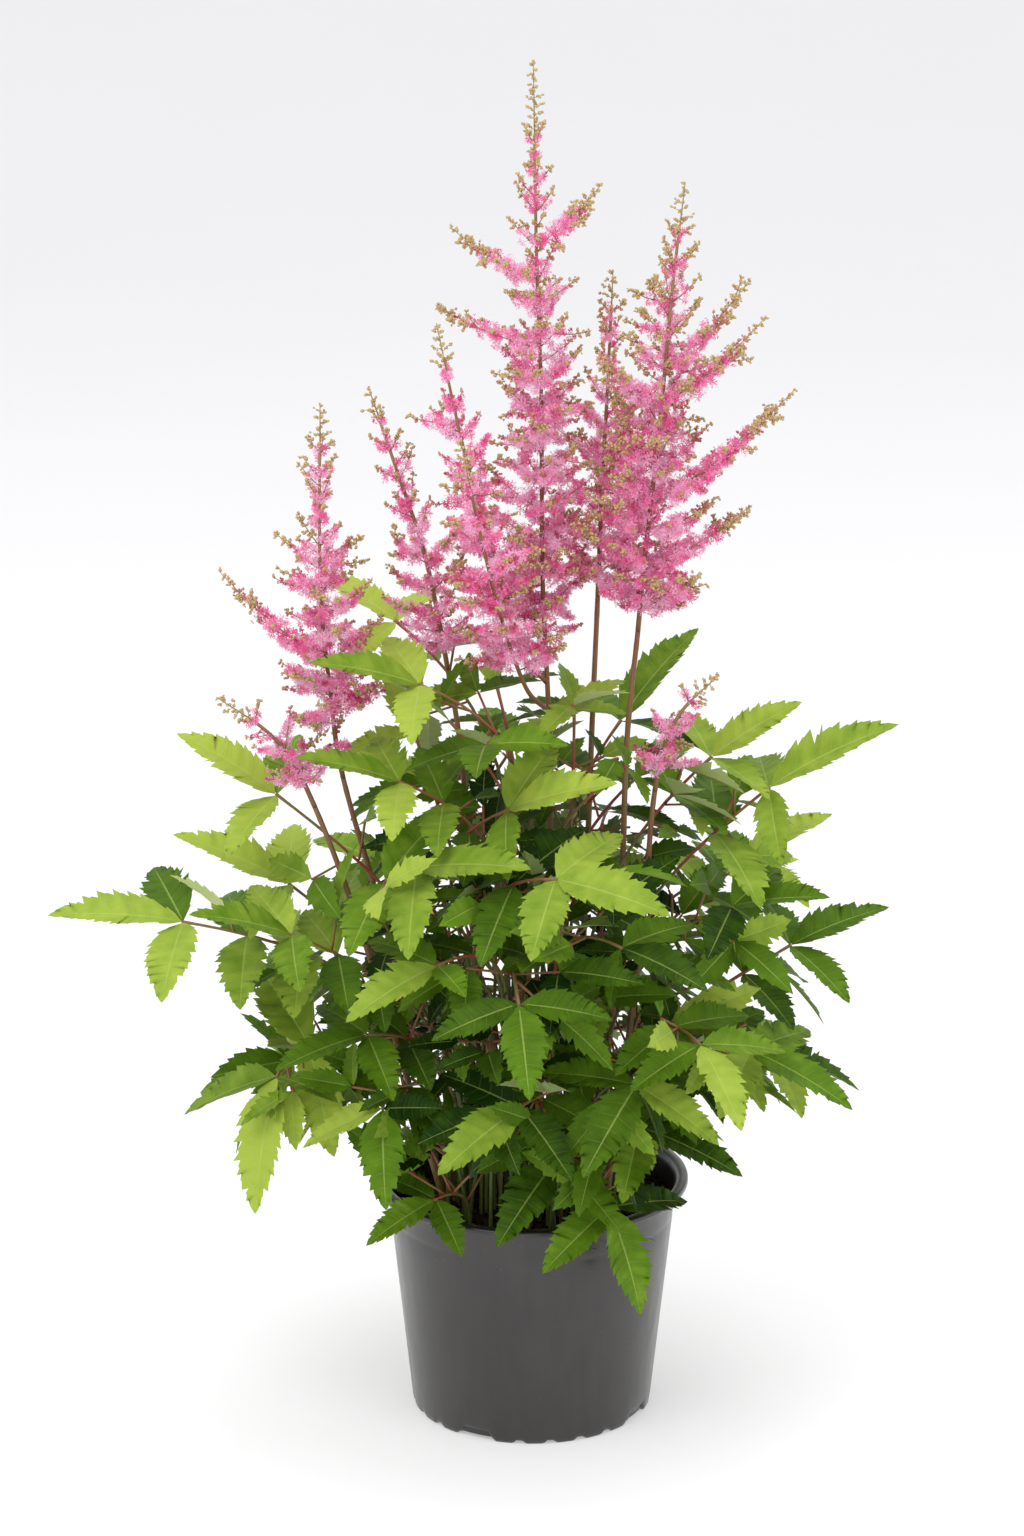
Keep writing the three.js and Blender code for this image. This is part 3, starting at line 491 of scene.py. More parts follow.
class Room:
    """What is already placed. New pieces go only where they are clear of it and of the pot."""

    def __init__(self) -> None:
        """Starts empty."""
        self.rows = np.empty((0, 5))
        self.owners = np.empty(0, int)
        self.numbers: dict[str, int] = {}
        self.feet: list[Vec] = []

    def add(self, spots: Spots, owner: str) -> None:
        """Takes the room of some points for an owner.

        Args:
            spots: The points.
            owner: Whose they are.
        """
        number = self.numbers.setdefault(owner, len(self.numbers))
        rows = np.column_stack([spots.at, spots.reach, spots.kin])
        self.rows = np.concatenate([self.rows, rows])
        self.owners = np.concatenate([self.owners, np.full(len(rows), number)])

    def is_free(self, spots: Spots, owner: str) -> bool:
        """Whether some points keep clear of everything that is there.

        Args:
            spots: The points.
            owner: Whose they are: those of one owner may come closer to each other.

        Returns:
            True if they do.
        """
        if not len(spots.at):
            return True
        if not clear_of_pot(spots).all():
            return False
        low = spots.at.min(0) - ROOM.margin
        high = spots.at.max(0) + ROOM.margin
        near = ((self.rows[:, :3] >= low) & (self.rows[:, :3] <= high)).all(1)
        rows = self.rows[near]
        is_kin = (self.owners[near] == self.numbers.get(owner, -1))[None]
        steps = spots.at[:, None] - rows[None, :, :3]
        gaps = np.sqrt((steps**2).sum(2))
        both_kin = (spots.kin[:, None] > 0) & (rows[None, :, 4] > 0)
        apart = spots.reach[:, None] + rows[None, :, 3]
        kin_apart = np.where(both_kin, spots.kin[:, None] + rows[None, :, 4], 0)
        return not (gaps < np.where(is_kin, kin_apart, apart)).any()

    def foot_is_free(self, foot: Vec, slack: float) -> bool:
        """Whether a stem's foot is clear of the others."""
        return all(math.hypot(*(other - foot)[:2]) > ROOM.foot_spacing * slack for other in self.feet)


def clear_of_pot(spots: Spots) -> Vec:
    """Whether each point is clear of the pot and the soil.

    Args:
        spots: The points.

    Returns:
        True or false for each.
    """
    radius = np.hypot(spots.at[:, 0], spots.at[:, 1])
    z = spots.at[:, 2]
    above = z > POT.height + spots.reach
    outside = (radius > POT.rim_radius + spots.reach) & (z > spots.reach)
    inner = POT.wall_radius(SOIL.top) - POT.wall
    inside = (radius < inner - spots.reach) & (z > SOIL.top + SOIL.bump + spots.reach)
    beyond = radius > POT.rim_radius + spots.reach
    return above | outside | (~beyond & inside)


# Mesh drafts


class Draft:
    """A mesh in the making: vertices in millimetres with a tint, and faces with a finish."""

    def __init__(self) -> None:
        """Starts empty."""
        self.count = 0
        self.vertices: list[Vec] = []
        self.tints: list[Vec] = []
        self.faces: dict[int, list[Vec]] = {3: [], 4: []}
        self.finishes: dict[int, list[Vec]] = {3: [], 4: []}

    def add(self, vertices: Vec, faces: Vec, finish: int, tint: Vec) -> None:
        """Adds a patch of mesh.

        Args:
            vertices: Places, one row each.
            faces: Vertex numbers within the patch, three or four to a row.
            finish: Number of the finish in the piece.
            tint: Three values for each vertex, or three for all of them.
        """
        size = faces.shape[1]
        self.faces[size].append(faces + self.count)
        self.finishes[size].append(np.full(len(faces), finish))
        self.vertices.append(vertices)
        self.tints.append(np.broadcast_to(tint, (len(vertices), 3)))
        self.count += len(vertices)

    def grid(self, rows: Vec, finish: int, tint: Vec, wraps: bool = False, flips: bool = False) -> None:
        """Adds a grid of quads through rows of places.

        Args:
            rows: Places, of shape rows, columns, 3.
            finish: Number of the finish in the piece.
            tint: Values of the same shape.
            wraps: Whether the last column joins the first.
            flips: Whether the faces look the other way.
        """
        high, wide = rows.shape[:2]
        numbers = np.arange(high * wide).reshape(high, wide)
        if wraps:
            numbers = np.concatenate([numbers, numbers[:, :1]], axis=1)
        quads = [numbers[:-1, :-1], numbers[:-1, 1:], numbers[1:, 1:], numbers[1:, :-1]]
        faces = np.stack([quads[0], *quads[:0:-1]] if flips else quads, axis=-1).reshape(-1, 4)
        self.add(rows.reshape(-1, 3), faces, finish, np.broadcast_to(tint, rows.shape).reshape(-1, 3))

    def tube(self, path: Vec, radii: Vec, sides: int, finish: int, tint: Vec) -> None:
        """Adds a round stem along a path, with a point at each end.

        Args:
            path: Places along its middle.
            radii: Its radius at each place.
            sides: Number of sides.
            finish: Number of the finish in the piece.
            tint: Three values for each place.
        """
        ways = units(np.gradient(path, axis=0))
        ends = [0, *range(len(path)), len(path) - 1]
        radii = np.concatenate([[0.01], radii, [0.01]])
        side = square_to(SIDE + 0.01 * UP, ways[0])
        angles = np.linspace(0, 2 * math.pi, sides, endpoint=False)[:, None]
        rows = []
        for radius, index in zip(radii, ends):
            side = square_to(side, ways[index])
            across = np.cross(ways[index], side)
            rows.append(path[index] + radius * (np.cos(angles) * side + np.sin(angles) * across))
        tints = np.repeat(tint[ends][:, None], sides, axis=1)
        self.grid(np.array(rows), finish, tints, wraps=True)

    def scatter(self, shape: Shape, places: Vec, turns: Vec, finish: int, tint: Vec) -> None:
        """Adds a copy of a small shape at each place.

        Args:
            shape: The small shape.
            places: Where its origin goes.
            turns: For each place, a matrix that turns and scales it.
            finish: Number of the finish in the piece.
            tint: Three values for each place, added to those of the shape.
        """
        if not len(places):
            return
        vertices = np.einsum("nij,vj->nvi", turns, shape.vertices) + places[:, None]
        offsets = np.arange(len(places))[:, None, None] * len(shape.vertices)
        tints = tint[:, None] + shape.tint[None]
        faces = (shape.faces[None] + offsets).reshape(-1, shape.faces.shape[1])
        self.add(vertices.reshape(-1, 3), faces, finish, tints.reshape(-1, 3))

    def piece(self, name: str, finishes: list[Material], is_smooth: bool = True) -> Piece:
        """Makes the Blender object, in metres.

        Args:
            name: Name of the piece.
            finishes: Its materials, in the order of their numbers.
            is_smooth: Whether its faces are shaded smooth.

        Returns:
            The piece.
        """
        mesh = bpy.data.meshes.new(name)
        groups = [size for size in (3, 4) if self.faces[size]]
        faces = [np.concatenate(self.faces[size]) for size in groups]
        totals = np.concatenate([np.full(len(rows), rows.shape[1]) for rows in faces])
        loops = np.concatenate([rows.reshape(-1) for rows in faces])
        mesh.vertices.add(self.count)
        mesh.vertices.foreach_set("co", (np.concatenate(self.vertices) * MM).reshape(-1))
        mesh.loops.add(len(loops))
        mesh.loops.foreach_set("vertex_index", loops.astype(np.int32))
        mesh.polygons.add(len(totals))
        starts = np.concatenate([[0], np.cumsum(totals)[:-1]])
        mesh.polygons.foreach_set("loop_start", starts.astype(np.int32))
        numbers = np.concatenate([np.concatenate(self.finishes[size]) for size in groups])
        mesh.polygons.foreach_set("material_index", numbers.astype(np.int32))
        mesh.update(calc_edges=True)
        mesh.polygons.foreach_set("use_smooth", np.full(len(totals), is_smooth))
        tints = mesh.color_attributes.new("tint", "FLOAT_COLOR", "POINT")
        values = np.column_stack([np.concatenate(self.tints), np.ones(self.count)])
        tints.data.foreach_set("color", values.reshape(-1))
        for finish in finishes:
            mesh.materials.append(finish)
        mesh.validate()
        thing = bpy.data.objects.new(name, mesh)
        bpy.context.scene.collection.objects.link(thing)
        return Piece(thing, int((totals - 2).sum()))


@dataclass
class Piece:
    """A finished Blender object of the plant."""

    thing: bpy.types.Object
    triangles: int

    def stands_for(self, node: str, slot: str) -> None:
        """Lets the piece ride on the plant in place of a solid, and reports it.

        Args:
            node: The solid that it replaces.
            slot: Not used.
        """
        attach(self.thing, "root")
        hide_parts(node)
        log.info("%s: %d triangles, for %s", self.thing.name, self.triangles, node)


@dataclass(frozen=True)
class Shape:
    """A small shape to scatter: vertices, triangles, and what it adds to the tint."""

    vertices: Vec
    faces: Vec
    tint: Vec


def frames_towards(ways: Vec, spins: Vec, sizes: Vec) -> Vec:
    """Matrices that turn a shape's own up towards each way.

    Args:
        ways: Unit directions, one row each.
        spins: Turn about each of them, in radians.
        sizes: Scale of each.

    Returns:
        One matrix for each way.
    """
    helper = np.where(np.abs(ways[:, 2:]) < 0.9, UP, SIDE)
    first = units(np.cross(helper, ways))
    second = np.cross(ways, first)
    cosine, sine = np.cos(spins)[:, None], np.sin(spins)[:, None]
    across = first * cosine + second * sine
    return np.stack([across, np.cross(ways, across), ways], axis=2) * sizes[:, None, None]


# Finishes


class Nodes:
    """A material's node tree, built by short calls."""

    def __init__(self, name: str) -> None:
        """Makes an empty material with its shader and output.

        Args:
            name: Name of the material.
        """
        self.material = bpy.data.materials.new(name)
        self.material.use_nodes = True
        self.tree = self.material.node_tree
        self.shader = self.tree.nodes["Principled BSDF"]
        self.output = self.tree.nodes["Material Output"]

    def add(self, kind: str, inputs: dict | None = None, **settings: object) -> bpy.types.Node:
        """Adds a node.

        Args:
            kind: Its type, without the leading word.
            inputs: What goes into its sockets, by name or number: a value or another socket.
            **settings: Its own settings.

        Returns:
            The node.
        """
        node = self.tree.nodes.new(f"ShaderNode{kind}")
        for key, value in settings.items():
            setattr(node, key, value)
        for key, value in (inputs or {}).items():
            self.feed(node.inputs[key], value)
        return node

    def feed(self, socket: Socket, value: object) -> None:
        """Puts a value or another socket into a socket.

        Args:
            socket: The socket to fill.
            value: A value, or the socket that it comes from.
        """
        if isinstance(value, Socket):
            self.tree.links.new(value, socket)
        else:
            socket.default_value = value

    def shade(self, **inputs: object) -> None:
        """Feeds the shader's sockets, named with underlines for spaces."""
        for key, value in inputs.items():
            self.feed(self.shader.inputs[key.replace("_", " ")], value)

    def tint(self) -> list[Socket]:
        """The three values of the mesh's tint."""
        colour = self.add("VertexColor", layer_name="tint").outputs["Color"]
        return list(self.add("SeparateColor", {0: colour}).outputs)

    def place(self) -> Socket:
        """The place on the object, in metres."""
        return self.add("TexCoord").outputs["Object"]

    def speckle(self, scale: float, detail: float = 3, stretch: tuple = (1, 1, 1)) -> Socket:
        """Noise over the object, from 0 to 1.

        Args:
            scale: How many spots to a metre.
            detail: How rough it is.
            stretch: Scale along each axis.

        Returns:
            The value.
        """
        spread = self.add("Mapping", {"Vector": self.place(), "Scale": stretch})
        texture = self.add("TexNoise", {"Vector": spread.outputs[0], "Scale": scale, "Detail": detail})
        return texture.outputs["Fac"]

    def math(self, operation: str, first: object, second: object = 0.0) -> Socket:
        """The result of a sum on two values."""
        return self.add("Math", {0: first, 1: second}, operation=operation).outputs[0]

    def span(
        self, value: object, low: float, high: float, new_low: float = 0, new_high: float = 1
    ) -> Socket:
        """A value moved from one range to another, and held in it."""
        inputs = {"Value": value, "From Min": low, "From Max": high, "To Min": new_low, "To Max": new_high}
        return self.add("MapRange", inputs).outputs[0]

    def varied(self, pattern: object, low: float, high: float) -> Socket:
        """A value from low to high over the middle of a pattern's range."""
        return self.span(pattern, 0.3, 0.7, low, high)

    def ramp(self, value: object, stops: list[tuple[float, tuple]]) -> Socket:
        """A colour that follows a value through stops of place and colour.

        Args:
            value: What the colour follows.
            stops: Place and colour of each stop.

        Returns:
            The colour.
        """
        node = self.add("ValToRGB", {"Fac": value})
        elements = node.color_ramp.elements
        while len(elements) < len(stops):
            elements.new(0.5)
        for element, (place, colour) in zip(elements, stops):
            element.position = place
            element.color = (*colour, 1)
        return node.outputs["Color"]

    def blend(self, share: object, first: object, second: object) -> Socket:
        """Two colours mixed by a share.

        Args:
            share: Share of the second.
            first: The first colour.
            second: The second colour.

        Returns:
            The mixed colour.
        """
        colours = [(*value, 1) if isinstance(value, tuple) else value for value in (first, second)]
        node = self.add("Mix", data_type="RGBA")
        self.feed(node.inputs[0], share)
        self.feed(node.inputs[6], colours[0])
        self.feed(node.inputs[7], colours[1])
        return node.outputs[2]

    def bump(self, height: object, strength: float, distance: float) -> Socket:
        """A normal raised by a height, in metres."""
        inputs = {"Height": height, "Strength": strength, "Distance": distance}
        return self.add("Bump", inputs).outputs[0]


@dataclass(frozen=True)
class Finish(ABC):
    """A finish of one of the plant's pieces."""

    name: str

    def material(self) -> Material:
        """Makes a material and mixes the finish in it.

        Returns:
            The material.
        """
        nodes = Nodes(self.name)
        self.mix(nodes)
        return nodes.material

    @abstractmethod
    def mix(self, nodes: Nodes) -> None:
        """Mixes the finish from nodes."""


@dataclass(frozen=True)
class LeafFace(Finish):
    """One face of a leaflet. The tint is tone with painted shade, then how far along it is in veins, and how
    far out.
    """

    dark: tuple = (0.010, 0.036, 0.001)
    middle: tuple = (0.104, 0.212, 0.008)
    bright: tuple = (0.370, 0.490, 0.062)
    vein: tuple = (0.460, 0.580, 0.150)
    vein_share: float = 0.52
    roughness: float = 0.5

    def mix(self, nodes: Nodes) -> None:
        """Mixes tone with painted shade, light veins, soft blotches and a fine grain.

        Args:
            nodes: The material's nodes.
        """
        tone_and_shade, row, out = nodes.tint()
        drift = nodes.varied(nodes.speckle(70, 4), -0.1, 0.1)
        between_veins = nodes.span(nodes.math("PINGPONG", row, 0.5), 0.05, 0.5, 0.02, -0.035)
        # Painted shade: the tone paints leaflets darker low and inside the clump and brighter high up and
        # outside; the rest of it is random tone.
        toned = nodes.math("ADD", tone_and_shade, nodes.math("ADD", drift, between_veins))
        green = nodes.ramp(toned, [(0.0, self.dark), (0.5, self.middle), (1.0, self.bright)])
        phase = nodes.math("ABSOLUTE", nodes.math("SUBTRACT", nodes.math("FRACT", row), 0.5))
        thin = nodes.span(phase, 0.0, 0.05, 1, 0)
        side_vein = nodes.math("MULTIPLY", thin, nodes.span(out, 0.2, 1, 0.3, 0.03))
        midrib = nodes.span(out, 0.02, 0.055, 0.8, 0)
        vein = nodes.math("MAXIMUM", midrib, side_vein)
        colour = nodes.blend(nodes.math("MULTIPLY", vein, self.vein_share), green, self.vein)
        cells = nodes.add("TexVoronoi", {"Vector": nodes.place(), "Scale": 420.0}, feature="DISTANCE_TO_EDGE")
        net = nodes.span(cells.outputs["Distance"], 0.0, 0.12, 0.35, 0)
        swell = nodes.math("SUBTRACT", nodes.speckle(800, 3), nodes.math("ADD", vein, net))
        grain = nodes.speckle(2200, 2)
        nodes.shade(
            Base_Color=colour,
            Roughness=nodes.varied(grain, self.roughness - 0.05, self.roughness + 0.09),
            Specular_IOR_Level=0.1,
            Normal=nodes.bump(swell, 0.45, 0.0005),
        )


@dataclass(frozen=True)
class Petal(Finish):
    """The florets. The tint is how open they are, the share from the middle out, and chance."""

    deep: tuple = (0.620, 0.040, 0.200)
    hot: tuple = (0.970, 0.215, 0.520)
    light: tuple = (1.000, 0.640, 0.830)

    def mix(self, nodes: Nodes) -> None:
        """Mixes crimson half open and hot pink open, paler towards the tips.

        Args:
            nodes: The material's nodes.
        """
        openness, outward, chance = nodes.tint()
        paler = nodes.math("MULTIPLY", outward, 0.3)
        own = nodes.span(chance, 0, 1, -0.1, 0.1)
        value = nodes.math("ADD", nodes.math("ADD", openness, paler), own)
        colour = nodes.ramp(value, [(0.05, self.deep), (0.5, self.hot), (1.0, self.light)])
        nodes.shade(Base_Color=colour, Roughness=0.6, Specular_IOR_Level=0.25)
        glow = nodes.add("BsdfTranslucent", {"Color": colour})
        mixed = nodes.add("MixShader", {0: 0.35, 1: nodes.shader.outputs[0], 2: glow.outputs[0]})
        nodes.feed(nodes.output.inputs["Surface"], mixed.outputs[0])


@dataclass(frozen=True)
class Bud(Finish):
    """The buds. The tint is how ripe they are, unused, and chance."""

    tan: tuple = (0.560, 0.420, 0.185)
    rosy: tuple = (0.590, 0.280, 0.180)
    crimson: tuple = (0.430, 0.040, 0.130)

    def mix(self, nodes: Nodes) -> None:
        """Mixes tan to rosy beads with a soft shine.

        Args:
            nodes: The material's nodes.
        """
        ripe, _, chance = nodes.tint()
        value = nodes.math("ADD", ripe, nodes.span(chance, 0, 1, -0.24, 0.26))
        colour = nodes.ramp(value, [(0.1, self.tan), (0.55, self.rosy), (1.0, self.crimson)])
        grain = nodes.speckle(3000, 2)
        nodes.shade(
            Base_Color=colour,
            Roughness=nodes.varied(grain, 0.42, 0.6),
            Normal=nodes.bump(grain, 0.3, 0.0001),
        )


@dataclass(frozen=True)
class StemSkin(Finish):
    """The skin of a stem. The tint is the share towards its second colour, light, and chance."""

    first: tuple
    second: tuple
    roughness: float = 0.48

    def mix(self, nodes: Nodes) -> None:
        """Mixes two colours that drift into each other, with fine ribs.

        Args:
            nodes: The material's nodes.
        """
        share, light, _ = nodes.tint()
        drift = nodes.varied(nodes.speckle(60, 4, (1, 1, 0.25)), -0.25, 0.25)
        colour = nodes.blend(nodes.span(nodes.math("ADD", share, drift), 0, 1), self.first, self.second)
        lit = nodes.blend(nodes.math("MULTIPLY", light, 0.5), colour, (0.55, 0.50, 0.22))
        ribs = nodes.speckle(1800, 2, (1, 1, 0.06))
        nodes.shade(
            Base_Color=lit,
            Roughness=nodes.varied(ribs, self.roughness - 0.06, self.roughness + 0.1),
            Normal=nodes.bump(ribs, 0.4, 0.0002),
        )


@dataclass(frozen=True)
class PotPlastic(Finish):
    """Recycled black plastic of a nursery pot. The tint is how far up to the lip it is, where the plastic is
    painted darker as painted shade of the rolled lip.
    """

    dark: tuple = (0.0125, 0.0100, 0.0092)
    worn: tuple = (0.022, 0.0190, 0.0175)
    dust: tuple = (0.30, 0.29, 0.27)
    lip: tuple = (0.006, 0.006, 0.006)

    def mix(self, nodes: Nodes) -> None:
        """Mixes satin plastic with faint drag lines, scuffs, dust specks and a darker lip of painted shade.

        Args:
            nodes: The material's nodes.
        """
        clouds = nodes.speckle(14, 5)
        scuffs = nodes.speckle(120, 6, (1, 1, 0.25))
        worn = nodes.span(nodes.math("MULTIPLY", clouds, scuffs), 0.15, 0.4)
        lip = nodes.tint()[0]
        # Painted shade: the lip and the underside of its roll are painted darker.
        body = nodes.blend(lip, nodes.blend(worn, self.dark, self.worn), self.lip)
        cells = nodes.add("TexVoronoi", {"Vector": nodes.place(), "Scale": 210.0})
        near = nodes.span(cells.outputs["Distance"], 0.035, 0.055, 1, 0)
        rare = nodes.span(nodes.speckle(33, 2), 0.56, 0.6)
        specks = nodes.math("MULTIPLY", nodes.math("MULTIPLY", near, rare), 0.55)
        grain = nodes.speckle(1500, 3)
        lines = nodes.speckle(700, 2, (0.04, 0.04, 1))
        relief = nodes.math("ADD", grain, lines)
        nodes.shade(
            Base_Color=nodes.blend(specks, body, self.dust),
            Roughness=nodes.varied(scuffs, 0.3, 0.44),
            Specular_IOR_Level=0.5,
            Coat_Weight=0.5,
            Coat_Roughness=0.25,
            Normal=nodes.bump(relief, 0.12, 0.0002),
        )


@dataclass(frozen=True)
class Peat(Finish):
    """Moist peat. The tint is dryness, redness and chance."""

    wet: tuple = (0.012, 0.007, 0.004)
    dry: tuple = (0.075, 0.040, 0.022)
    red: tuple = (0.120, 0.038, 0.014)

    def mix(self, nodes: Nodes) -> None:
        """Mixes dark crumbs, drier and redder in places.

        Args:
            nodes: The material's nodes.
        """
        dryness, redness, chance = nodes.tint()
        clods = nodes.speckle(260, 6)
        value = nodes.math("ADD", nodes.math("MULTIPLY", clods, dryness), nodes.span(chance, 0, 1, -0.2, 0.2))
        earth = nodes.blend(nodes.span(value, 0, 0.8), self.wet, self.dry)
        nodes.shade(
            Base_Color=nodes.blend(redness, earth, self.red),
            Roughness=nodes.varied(clods, 0.8, 0.97),
            Specular_IOR_Level=0.2,
            Normal=nodes.bump(nodes.speckle(900, 5), 0.8, 0.001),
        )


@dataclass(frozen=True)
class Grit(Finish):
    """Sand and perlite in the peat. The tint is paleness, unused, and chance."""

    tan: tuple = (0.32, 0.22, 0.13)
    white: tuple = (0.78, 0.76, 0.70)

    def mix(self, nodes: Nodes) -> None:
        """Mixes tan to white grains.

        Args:
            nodes: The material's nodes.
        """
        pale, _, chance = nodes.tint()
        share = nodes.span(nodes.math("ADD", pale, nodes.span(chance, 0, 1, -0.2, 0.2)), 0, 1)
        grain = nodes.speckle(1400, 4)
        nodes.shade(
            Base_Color=nodes.blend(share, self.tan, self.white),
            Roughness=nodes.varied(grain, 0.7, 0.95),
            Normal=nodes.bump(grain, 0.6, 0.0004),
        )


@dataclass(frozen=True)
class PaleFloor(Finish):
    """The floor of the studio, with painted light: it glows to wash out shadows, and is painted darker
    farther back.
    """

    colour: tuple = (0.71, 0.705, 0.70)
    painted_far_shade: tuple = (0.505, 0.503, 0.515)
    glow: float = 0.36

    def mix(self, nodes: Nodes) -> None:
        """Mixes a matt, nearly white floor, painted darker farther back as painted shade, that glows as
        painted light.

        Args:
            nodes: The material's nodes.
        """
        drift = nodes.math("MULTIPLY", nodes.speckle(3, 2), 0.1)
        # Painted shade: darker farther back, towards the wall.
        far = nodes.span(nodes.add("SeparateXYZ", {0: nodes.place()}).outputs[1], -1.5, 4.2)
        shade = nodes.blend(nodes.math("ADD", far, drift), self.colour, self.painted_far_shade)
        nodes.shade(Base_Color=shade, Roughness=0.85, Specular_IOR_Level=0.1)
        # Painted light: the floor glows, which washes out the shadows on it.
        nodes.shade(Emission_Color=(1, 1, 1, 1), Emission_Strength=self.glow)


# Flower stems


@dataclass(frozen=True)
class Whorls:
    """Evenly spaced nodes of a stem and the racemes that stand there."""

    count: int
    low: float
    high: float
    whorl: int
    longest: float
    shortest: float
    turn: float


@dataclass(frozen=True)
class Organ:
    """Something that grows from a node: a raceme, or a branch with racemes of its own."""

    azimuth: float
    length: float = 0
    rise: float = 0
    branch: Branch | None = None


@dataclass(frozen=True)
class Branch:
    """A long side stem through given points."""

    height: float
    azimuth: float
    points: list
    nodes: Whorls

    def curve(self, root: Vec) -> Spline:
        """Its middle line from its root."""
        return Spline([root, *[np.array(point, float) for point in self.points]])


@dataclass(frozen=True)
class Raceme:
    """A placed raceme: its middle line, its length and how high it sits in its plume."""

    path: list
    size: float
    level: float
    is_spike: bool = False
    opened: float = 1.0


def nodes_of(whorls: Whorls, extras: list, branches: list) -> list[tuple[float, list[Organ]]]:
    """The nodes of a stem from the lowest up, with the organs asked for at each.

    Args:
        whorls: The even nodes.
        extras: Listed racemes, as height, azimuth, length and rise.
        branches: Long side stems.

    Returns:
        Height and organs of each node, the listed ones first.
    """
    steps = whorls.count - 1
    heights = [between(whorls.low, whorls.high, index / steps) for index in range(whorls.count)]
    heights = sorted(heights + [branch.height for branch in branches])
    found = [(height, []) for height in heights]

    def nearest(height: float) -> list[Organ]:
        """The organs of the node nearest to a height."""
        return min(found, key=lambda node: abs(node[0] - height))[1]

    for branch in branches:
        nearest(branch.height).append(Organ(branch.azimuth, branch=branch))
    for height, azimuth, length, rise in extras:
        nearest(height).append(Organ(azimuth, length, rise))
    for index, (height, organs) in enumerate(found):
        share = (height - whorls.low) / (whorls.high - whorls.low)
        for turn in range(whorls.whorl if share >= 0 else 0):
            azimuth = whorls.turn + GOLDEN_TURN * index + 360 * turn / whorls.whorl
            length = between(whorls.longest, whorls.shortest, share)
            organs.append(Organ(azimuth, length, between(STEM.low_rise, STEM.high_rise, share)))
    return found


def raceme_spots(path: list[Vec], length: float, root: float) -> Spots:
    """Points of a raceme. Its root, of a length of its own, may touch its kin.

    Args:
        path: Its middle line.
        length: Its length.
        root: Length of its root.

    Returns:
        The points.
    """

    def reaches_at(share: float) -> tuple[float, float]:
        """Reach and kin reach at a share of the raceme."""
        reach = STEM.reach(length, share) + 0.5
        return reach, 0 if share * length < root else reach

    return spots_along(path, reaches_at)


def spike_path(curve: Curve, nodes: list) -> list[Vec]:
    """The middle line of a stem past its last node.

    Args:
        curve: The stem's middle line.
        nodes: Its nodes.

    Returns:
        The spike's middle line.
    """
    length = curve.length()
    start = curve.share_at_height(nodes[-1][0]) + STEM.node_length / length
    steps = max(4, round_half_up((1 - start) * length / STEM.pitch))
    return [at for at, _ in curve.stations(start, 1, steps)]


def round_half_up(value: float) -> int:
    """The nearest whole number, halves going up."""
    return math.floor(value + 0.5)


def raceme_path(origin: Vec, along: Vec, organ: Organ) -> list[Vec]:
    """The middle line of a raceme: out from the stem at its rise, then bending up.

    Args:
        origin: Where it starts.
        along: The stem's direction there.
        organ: Its azimuth, length and rise.

    Returns:
        Places along it.
    """
    rise = math.radians(organ.rise)
    out = square_to(polar(1, organ.azimuth, 0), along)
    start = out * math.cos(rise) + along * math.sin(rise)
    steps = max(3, round_half_up(organ.length / STEM.pitch))
    shares = [index / steps for index in range(steps + 1)]
    lift = STEM.lift * organ.length
    return [origin + start * (organ.length * share) + UP * (lift * share**2) for share in shares]


def face_towards(start: Vec, end: Vec, azimuth: float) -> int:
    """The face between two sections that looks most towards an azimuth.

    Args:
        start: Corners of the first section.
        end: Corners of the second.
        azimuth: The azimuth, in degrees.

    Returns:
        Number of the face.
    """
    middle = (start.sum(0) + end.sum(0)) / 8
    way = polar(1, azimuth, 0)
    looks = [(face_ring(start, end, face).mean(0) - middle) @ way for face in range(4)]
    return int(np.argmax(looks))


